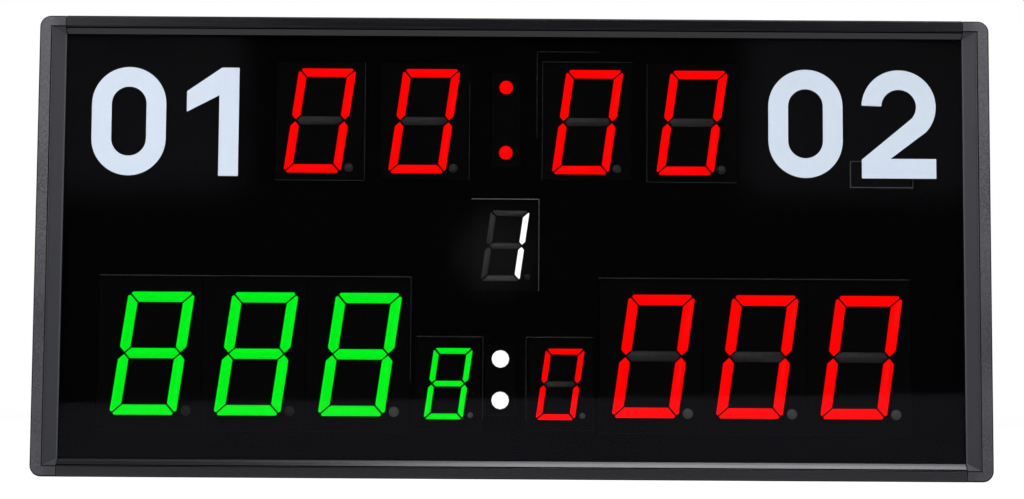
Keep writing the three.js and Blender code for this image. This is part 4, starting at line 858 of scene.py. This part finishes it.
def painted_highlight_strips():
    """A thin painted highlight strip on the black sheet along each line."""
    shape = bmesh.new()
    painted_glow = shape.faces.layers.float.new("painted_glow")
    origin = Vector((0, depth(MASK_FRONT), 0))
    for x0, z0, x1, z1, width, glow_share in EDGE_LINES:
        low_x, high_x = min(x0, x1) - width / 2, max(x0, x1) + width / 2
        low_z, high_z = min(z0, z1) - width / 2, max(z0, z1) + width / 2
        corners = [(low_x, low_z), (high_x, low_z), (high_x, high_z), (low_x, high_z)]
        before = len(shape.faces)
        plate(shape, corners, [], origin, RIGHTWARDS, UPWARDS, EDGE_THICKNESS)
        shape.faces.ensure_lookup_table()
        for face in shape.faces[before:]:
            face[painted_glow] = glow_share
    finished_plates("painted_edge_highlights", shape, finishes["painted_edge_highlight"])


painted_highlight_strips()


# Small screws, by a rule

PANEL_SCREW = {
    "Head radius": 2.7,
    "Head height": 1.5,
    "Dome radius": 3.9,
    "Shank radius": 1.2,
    "Shank length": 0.6,
    "Slot width": 0.75,
    "Slot depth": 0.8,
}
BRACKET_SCREW = {**PANEL_SCREW, "Head radius": 2.3, "Dome radius": 3.4}
CAP_SCREW = {
    "Head radius": 3.1,
    "Head height": 2.4,
    "Dome radius": 5.0,
    "Shank radius": 1.6,
    "Shank length": 20.0,
    "Slot width": 0.9,
    "Slot depth": 1.3,
}
HEAD_SIDES = 28
DOME_SEGMENTS = 56
DOME_RINGS = 40
SHANK_SIDES = 18
RECESS_SHARE = 1.15


def screw_rule():
    """A node tree that sets a cross-recess screw on each point of a mesh."""
    tree = bpy.data.node_groups.new("screws", "GeometryNodeTree")
    plan = Nodes(tree)
    sockets = tree.interface
    sockets.new_socket("Places", in_out="INPUT", socket_type="NodeSocketGeometry")
    for name in PANEL_SCREW:
        sockets.new_socket(name, in_out="INPUT", socket_type="NodeSocketFloat")
    sockets.new_socket("Turn", in_out="INPUT", socket_type="NodeSocketVector")
    sockets.new_socket("Seed", in_out="INPUT", socket_type="NodeSocketInt")
    sockets.new_socket("Finish", in_out="INPUT", socket_type="NodeSocketMaterial")
    sockets.new_socket("Screws", in_out="OUTPUT", socket_type="NodeSocketGeometry")
    entry = tree.nodes.new("NodeGroupInput")
    asked = {socket.name: Value(plan, socket) for socket in entry.outputs if socket.name}

    def vector(x, y, z):
        return plan.node("ShaderNodeCombineXYZ", inputs={0: x, 1: y, 2: z})

    def moved(mesh, place):
        return plan.node("GeometryNodeTransform", inputs={"Geometry": mesh, "Translation": place})

    def boolean(operation, first, others):
        made = tree.nodes.new("GeometryNodeMeshBoolean")
        made.operation = operation
        made.solver = "EXACT"
        if first is not None:
            tree.links.new(first.socket, made.inputs["Mesh 1"])
        for other in others:
            tree.links.new(other.socket, made.inputs["Mesh 2"])
        return Value(plan, made.outputs["Mesh"])

    radius, height = asked["Head radius"], asked["Head height"]
    dome = asked["Dome radius"]
    drum = plan.node("GeometryNodeMeshCylinder", inputs={
        "Vertices": HEAD_SIDES,
        "Radius": radius,
        "Depth": height,
    })
    drum = moved(drum, vector(0.0, 0.0, height * 0.5))
    ball = plan.node("GeometryNodeMeshUVSphere", inputs={
        "Segments": DOME_SEGMENTS,
        "Rings": DOME_RINGS,
        "Radius": dome,
    })
    ball = moved(ball, vector(0.0, 0.0, height - dome))
    head = boolean("INTERSECT", None, [drum, ball])
    width, sunk = asked["Slot width"], asked["Slot depth"]
    arm = radius * RECESS_SHARE
    recess = [
        plan.node("GeometryNodeMeshCube", inputs={"Size": vector(width, arm, sunk * 2)}),
        plan.node("GeometryNodeMeshCube", inputs={"Size": vector(arm, width, sunk * 2)}),
    ]
    head = boolean("DIFFERENCE", head, [moved(bar, vector(0.0, 0.0, height)) for bar in recess])
    shank = plan.node("GeometryNodeMeshCylinder", inputs={
        "Vertices": SHANK_SIDES,
        "Radius": asked["Shank radius"],
        "Depth": asked["Shank length"],
    })
    shank = moved(shank, vector(0.0, 0.0, asked["Shank length"] * -0.5))
    joined = tree.nodes.new("GeometryNodeJoinGeometry")
    for part in (head, shank):
        tree.links.new(part.socket, joined.inputs[0])
    placed = plan.node("GeometryNodeInstanceOnPoints", inputs={
        "Points": asked["Places"],
        "Instance": Value(plan, joined.outputs[0]),
        "Rotation": asked["Turn"],
    })
    random_turn = {"Seed": asked["Seed"], 3: math.pi}
    spin = plan.node("FunctionNodeRandomValue", {"data_type": "FLOAT"}, random_turn, 1)
    placed = plan.node("GeometryNodeRotateInstances", inputs={
        "Instances": placed,
        "Rotation": vector(0.0, 0.0, spin),
        "Local Space": True,
    })
    real = plan.node("GeometryNodeRealizeInstances", inputs={"Geometry": placed})
    coated = plan.node("GeometryNodeSetMaterial", inputs={"Geometry": real, "Material": asked["Finish"]})
    leave = tree.nodes.new("NodeGroupOutput")
    tree.links.new(coated.socket, leave.inputs["Screws"])
    return tree


SCREW_RULE = screw_rule()


def screws(name, places, turn, sizes, seed, finish, replaced=()):
    """Screws at these points in metres, made plain mesh."""
    mesh = bpy.data.meshes.new(f"{name}_places")
    mesh.from_pydata(places, [], [])
    holder = bpy.data.objects.new(f"{name}_places", mesh)
    bpy.context.scene.collection.objects.link(holder)
    rule = holder.modifiers.new("screws", "NODES")
    rule.node_group = SCREW_RULE
    wanted = {key: value * MM for key, value in sizes.items()}
    wanted.update({"Turn": turn, "Seed": seed, "Finish": finish})
    for item in SCREW_RULE.interface.items_tree:
        if item.in_out == "INPUT" and item.name in wanted:
            rule[item.identifier] = wanted[item.name]
    grown = plain_mesh(holder)
    bpy.data.objects.remove(holder)
    shape = bmesh.new()
    shape.from_mesh(grown)
    made = piece(name, shape, finish, smooth_under=35)
    if replaced:
        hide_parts(*replaced)


TOWARDS_BACK = (-math.pi / 2, 0.0, 0.0)
TOWARDS_LEFT = (0.0, -math.pi / 2, 0.0)
TOWARDS_RIGHT = (0.0, math.pi / 2, 0.0)
POSTS = [(x, z) for x in (-157.15, 147.15) for z in (195.5, 255.5)]
POSTS += [(x, z) for x in (-266.6, 256.6) for z in (40.3, 114.3)]
POSTS += [(-5.0, 23.55), (-5.0, 92.55)]
POSTS += [(x, z) for x in (-112.0, 102.0) for z in (143.0, 177.0)]
BRACKET_SCREW_X = 270.8
BRACKET_SCREW_HEIGHTS = (19.0, 47.0, 75.0)
CAP_SCREW_X = 289.3
CAP_SCREW_HEIGHT = 6.6
CAP_SCREW_DEPTH = 20.0
screws(
    "panel_screws",
    [(x * MM, depth(PANEL_REAR), z * MM) for x, z in POSTS],
    TOWARDS_BACK,
    PANEL_SCREW,
    seed=4,
    finish=finishes["black_screw"],
)
for side, x in (("left", -BRACKET_SCREW_X), ("right", BRACKET_SCREW_X)):
    screws(
        f"{side}_bracket_screws",
        [(x * MM, depth(BRACKET_REAR), z * MM) for z in BRACKET_SCREW_HEIGHTS],
        TOWARDS_BACK,
        BRACKET_SCREW,
        seed=11,
        finish=finishes["screw_steel"],
    )
for end, z in (("bottom", CAP_SCREW_HEIGHT), ("top", 2 * MIDDLE_HEIGHT - CAP_SCREW_HEIGHT)):
    for side, x, turn in (("left", -CAP_SCREW_X, TOWARDS_LEFT), ("right", CAP_SCREW_X, TOWARDS_RIGHT)):
        screws(
            f"cap_screw_{end}_{side}_dressed",
            [(x * MM, depth(CAP_SCREW_DEPTH), z * MM)],
            turn,
            CAP_SCREW,
            seed=7,
            finish=finishes["black_screw"],
            replaced=[f"cap_screw_{end}_{side}"],
        )


# The rocker's marks: O on its lower half and I on its upper half, which is pressed while the digits shine

MARK_REACH = 1.6
BAR_HALF_WIDTH = 0.35
RING_HOLE_RADIUS = 1.0
RING_SWEEP = 350
RING_STEPS = 27
MARK_LIFT = 0.01
REARWARD = 0.8


def rocker_marks():
    """Marks on the rocker's two largest faces, the lower one first."""
    faces = rounded_pieces["switch_rocker"].data.polygons
    rearward = [face for face in faces if face.normal.y > REARWARD]
    rearward.sort(key=lambda face: face.area, reverse=True)
    pads = sorted(rearward[:2], key=lambda face: face.center.z)
    circles = [arc((0, 0), radius, 0, RING_SWEEP, RING_STEPS) for radius in (MARK_REACH, RING_HOLE_RADIUS)]
    ring = (circles[0], circles[1:])
    bar = ([(BAR_HALF_WIDTH * across, MARK_REACH * along) for across, along in SQUARE], [])
    shape = bmesh.new()
    for pad, (outline, holes) in zip(pads, (ring, bar)):
        facing = pad.normal.copy()
        right = -RIGHTWARDS
        up = facing.cross(right).normalized()
        plate(shape, outline, holes, pad.center + facing * (MARK_LIFT * MM), right, up, PRINT_THICKNESS)
    finished_plates("rocker_marks", shape, finishes["print_white"], "rocker")


rocker_marks()


# The studio

LOOKED_AT_RAYS = ("Is Camera Ray", "Is Glossy Ray", "Is Transmission Ray")


def emptied(owner):
    """The owner's node tree, with nothing in it."""
    owner.use_nodes = True
    owner.node_tree.nodes.clear()
    return Nodes(owner.node_tree)


def lead_out(nodes, kind, shader):
    """Leads the shader out through an output node of this kind."""
    end = nodes.tree.nodes.new(kind)
    nodes.feed(end.inputs["Surface"], shader)


def looked_at(nodes):
    """1 for what the camera sees, straight, mirrored or through glass."""
    path = nodes.tree.nodes.new("ShaderNodeLightPath")
    return strongest(*[Value(nodes, path.outputs[name]) for name in LOOKED_AT_RAYS])


def stage_plane(name, corners, material):
    """A flat sheet that isn't part of the object."""
    mesh = bpy.data.meshes.new(name)
    mesh.from_pydata(corners, [], [tuple(range(len(corners)))])
    made = bpy.data.objects.new(name, mesh)
    bpy.context.scene.collection.objects.link(made)
    mesh.materials.append(material)
    return made


def floor_material():
    """Pale, and white where it is looked at, with the object's shadow kept."""
    material = bpy.data.materials.new("studio_floor")
    nodes = emptied(material)
    seen = looked_at(nodes) * 0.85
    matt = nodes.node("ShaderNodeBsdfDiffuse", inputs={"Color": (0.8, 0.8, 0.8, 1.0)})
    glow = nodes.node("ShaderNodeEmission", inputs={"Color": WHITE, "Strength": 1.1})
    mixed = nodes.node("ShaderNodeMixShader", inputs={0: seen, 1: matt, 2: glow})
    lead_out(nodes, "ShaderNodeOutputMaterial", mixed)
    return material


def card(name, corners, brightness):
    """A dark card that shows in reflections alone."""
    material = bpy.data.materials.new("dark_card")
    nodes = emptied(material)
    glow = nodes.node("ShaderNodeEmission", inputs={"Color": WHITE, "Strength": brightness})
    lead_out(nodes, "ShaderNodeOutputMaterial", glow)
    made = stage_plane(name, corners, material)
    made.visible_camera = False
    made.visible_diffuse = False
    made.visible_transmission = False
    made.visible_shadow = False


FLOOR_REACH = 6.0
stage_plane("floor", [(x * FLOOR_REACH, y * FLOOR_REACH, 0) for x, y in SQUARE], floor_material())

# The front card darkens what the window mirrors, above a line that slants a little.
FRONT_CARD_Y = -2.0
FRONT_CARD = [(-0.80, 0.0365), (0.86, 0.0645), (0.86, 1.30), (-0.80, 1.30)]
UPPER_CARD_Z = 1.55
UPPER_CARD = [(-1.6, -0.9), (-0.2, -0.9), (-0.2, 0.4), (-1.6, 0.4)]
card("front_card", [(x, FRONT_CARD_Y, z) for x, z in FRONT_CARD], 0.0)
card("upper_card", [(x, y, UPPER_CARD_Z) for x, y in UPPER_CARD], 0.05)


def lamp(name, place, aim, width, height, watts):
    """A soft rectangular lamp that faces a point."""
    light = bpy.data.lights.new(name, "AREA")
    light.shape = "RECTANGLE"
    light.size = width
    light.size_y = height
    light.energy = watts
    made = bpy.data.objects.new(name, light)
    bpy.context.scene.collection.objects.link(made)
    made.location = place
    made.rotation_euler = (Vector(aim) - Vector(place)).to_track_quat("-Z", "Y").to_euler()


def studio_world():
    """White where it is looked at, and dimmer as a light."""
    world = bpy.data.worlds.new("studio")
    sky = emptied(world)
    seen = looked_at(sky)
    white = sky.node("ShaderNodeBackground", inputs={"Color": WHITE, "Strength": 1.0})
    dim = sky.node("ShaderNodeBackground", inputs={"Color": WHITE, "Strength": 0.4})
    mixed = sky.node("ShaderNodeMixShader", inputs={0: seen, 1: dim, 2: white})
    lead_out(sky, "ShaderNodeOutputWorld", mixed)
    return world


def studio_camera():
    """The camera, level with the floor apart from its small roll, and turned up towards the board."""
    yaw, pitch, roll = (math.radians(turn) for turn in (CAMERA_YAW, CAMERA_PITCH, CAMERA_ROLL))
    forward = Vector((math.sin(yaw) * math.cos(pitch), math.cos(yaw) * math.cos(pitch), math.sin(pitch)))
    level = Vector((math.cos(yaw), -math.sin(yaw), 0))
    upright = level.cross(forward)
    right = math.cos(roll) * level + math.sin(roll) * upright
    up = -math.sin(roll) * level + math.cos(roll) * upright
    eye = bpy.data.cameras.new("camera")
    eye.lens = CAMERA_LENS
    eye.sensor_width = CAMERA_SENSOR
    eye.sensor_fit = "HORIZONTAL"
    camera = bpy.data.objects.new("camera", eye)
    bpy.context.scene.collection.objects.link(camera)
    camera.matrix_world = Matrix((
        (right.x, up.x, -forward.x, CAMERA_PLACE[0]),
        (right.y, up.y, -forward.y, CAMERA_PLACE[1]),
        (right.z, up.z, -forward.z, CAMERA_PLACE[2]),
        (0, 0, 0, 1),
    ))
    return camera


lamp("key", place=(-0.3, -0.9, 2.0), aim=(0, 0, 0.15), width=1.5, height=0.8, watts=15)
lamp("left", place=(-0.85, -1.0, 0.9), aim=(-0.28, 0, 0.28), width=0.8, height=0.6, watts=8)
lamp("right", place=(1.0, -1.0, 0.9), aim=(0.28, 0, 0.25), width=0.8, height=0.6, watts=4)
lamp("overhead", place=(0.29, -0.22, 1.5), aim=(0.29, 0, 0), width=0.86, height=0.24, watts=9)
lamp("back", place=(0.5, 1.6, 1.4), aim=(0, 0, 0.15), width=1.6, height=1.0, watts=14)
bpy.context.scene.world = studio_world()
bpy.context.scene.camera = studio_camera()
bpy.context.scene.view_settings.view_transform = "Standard"
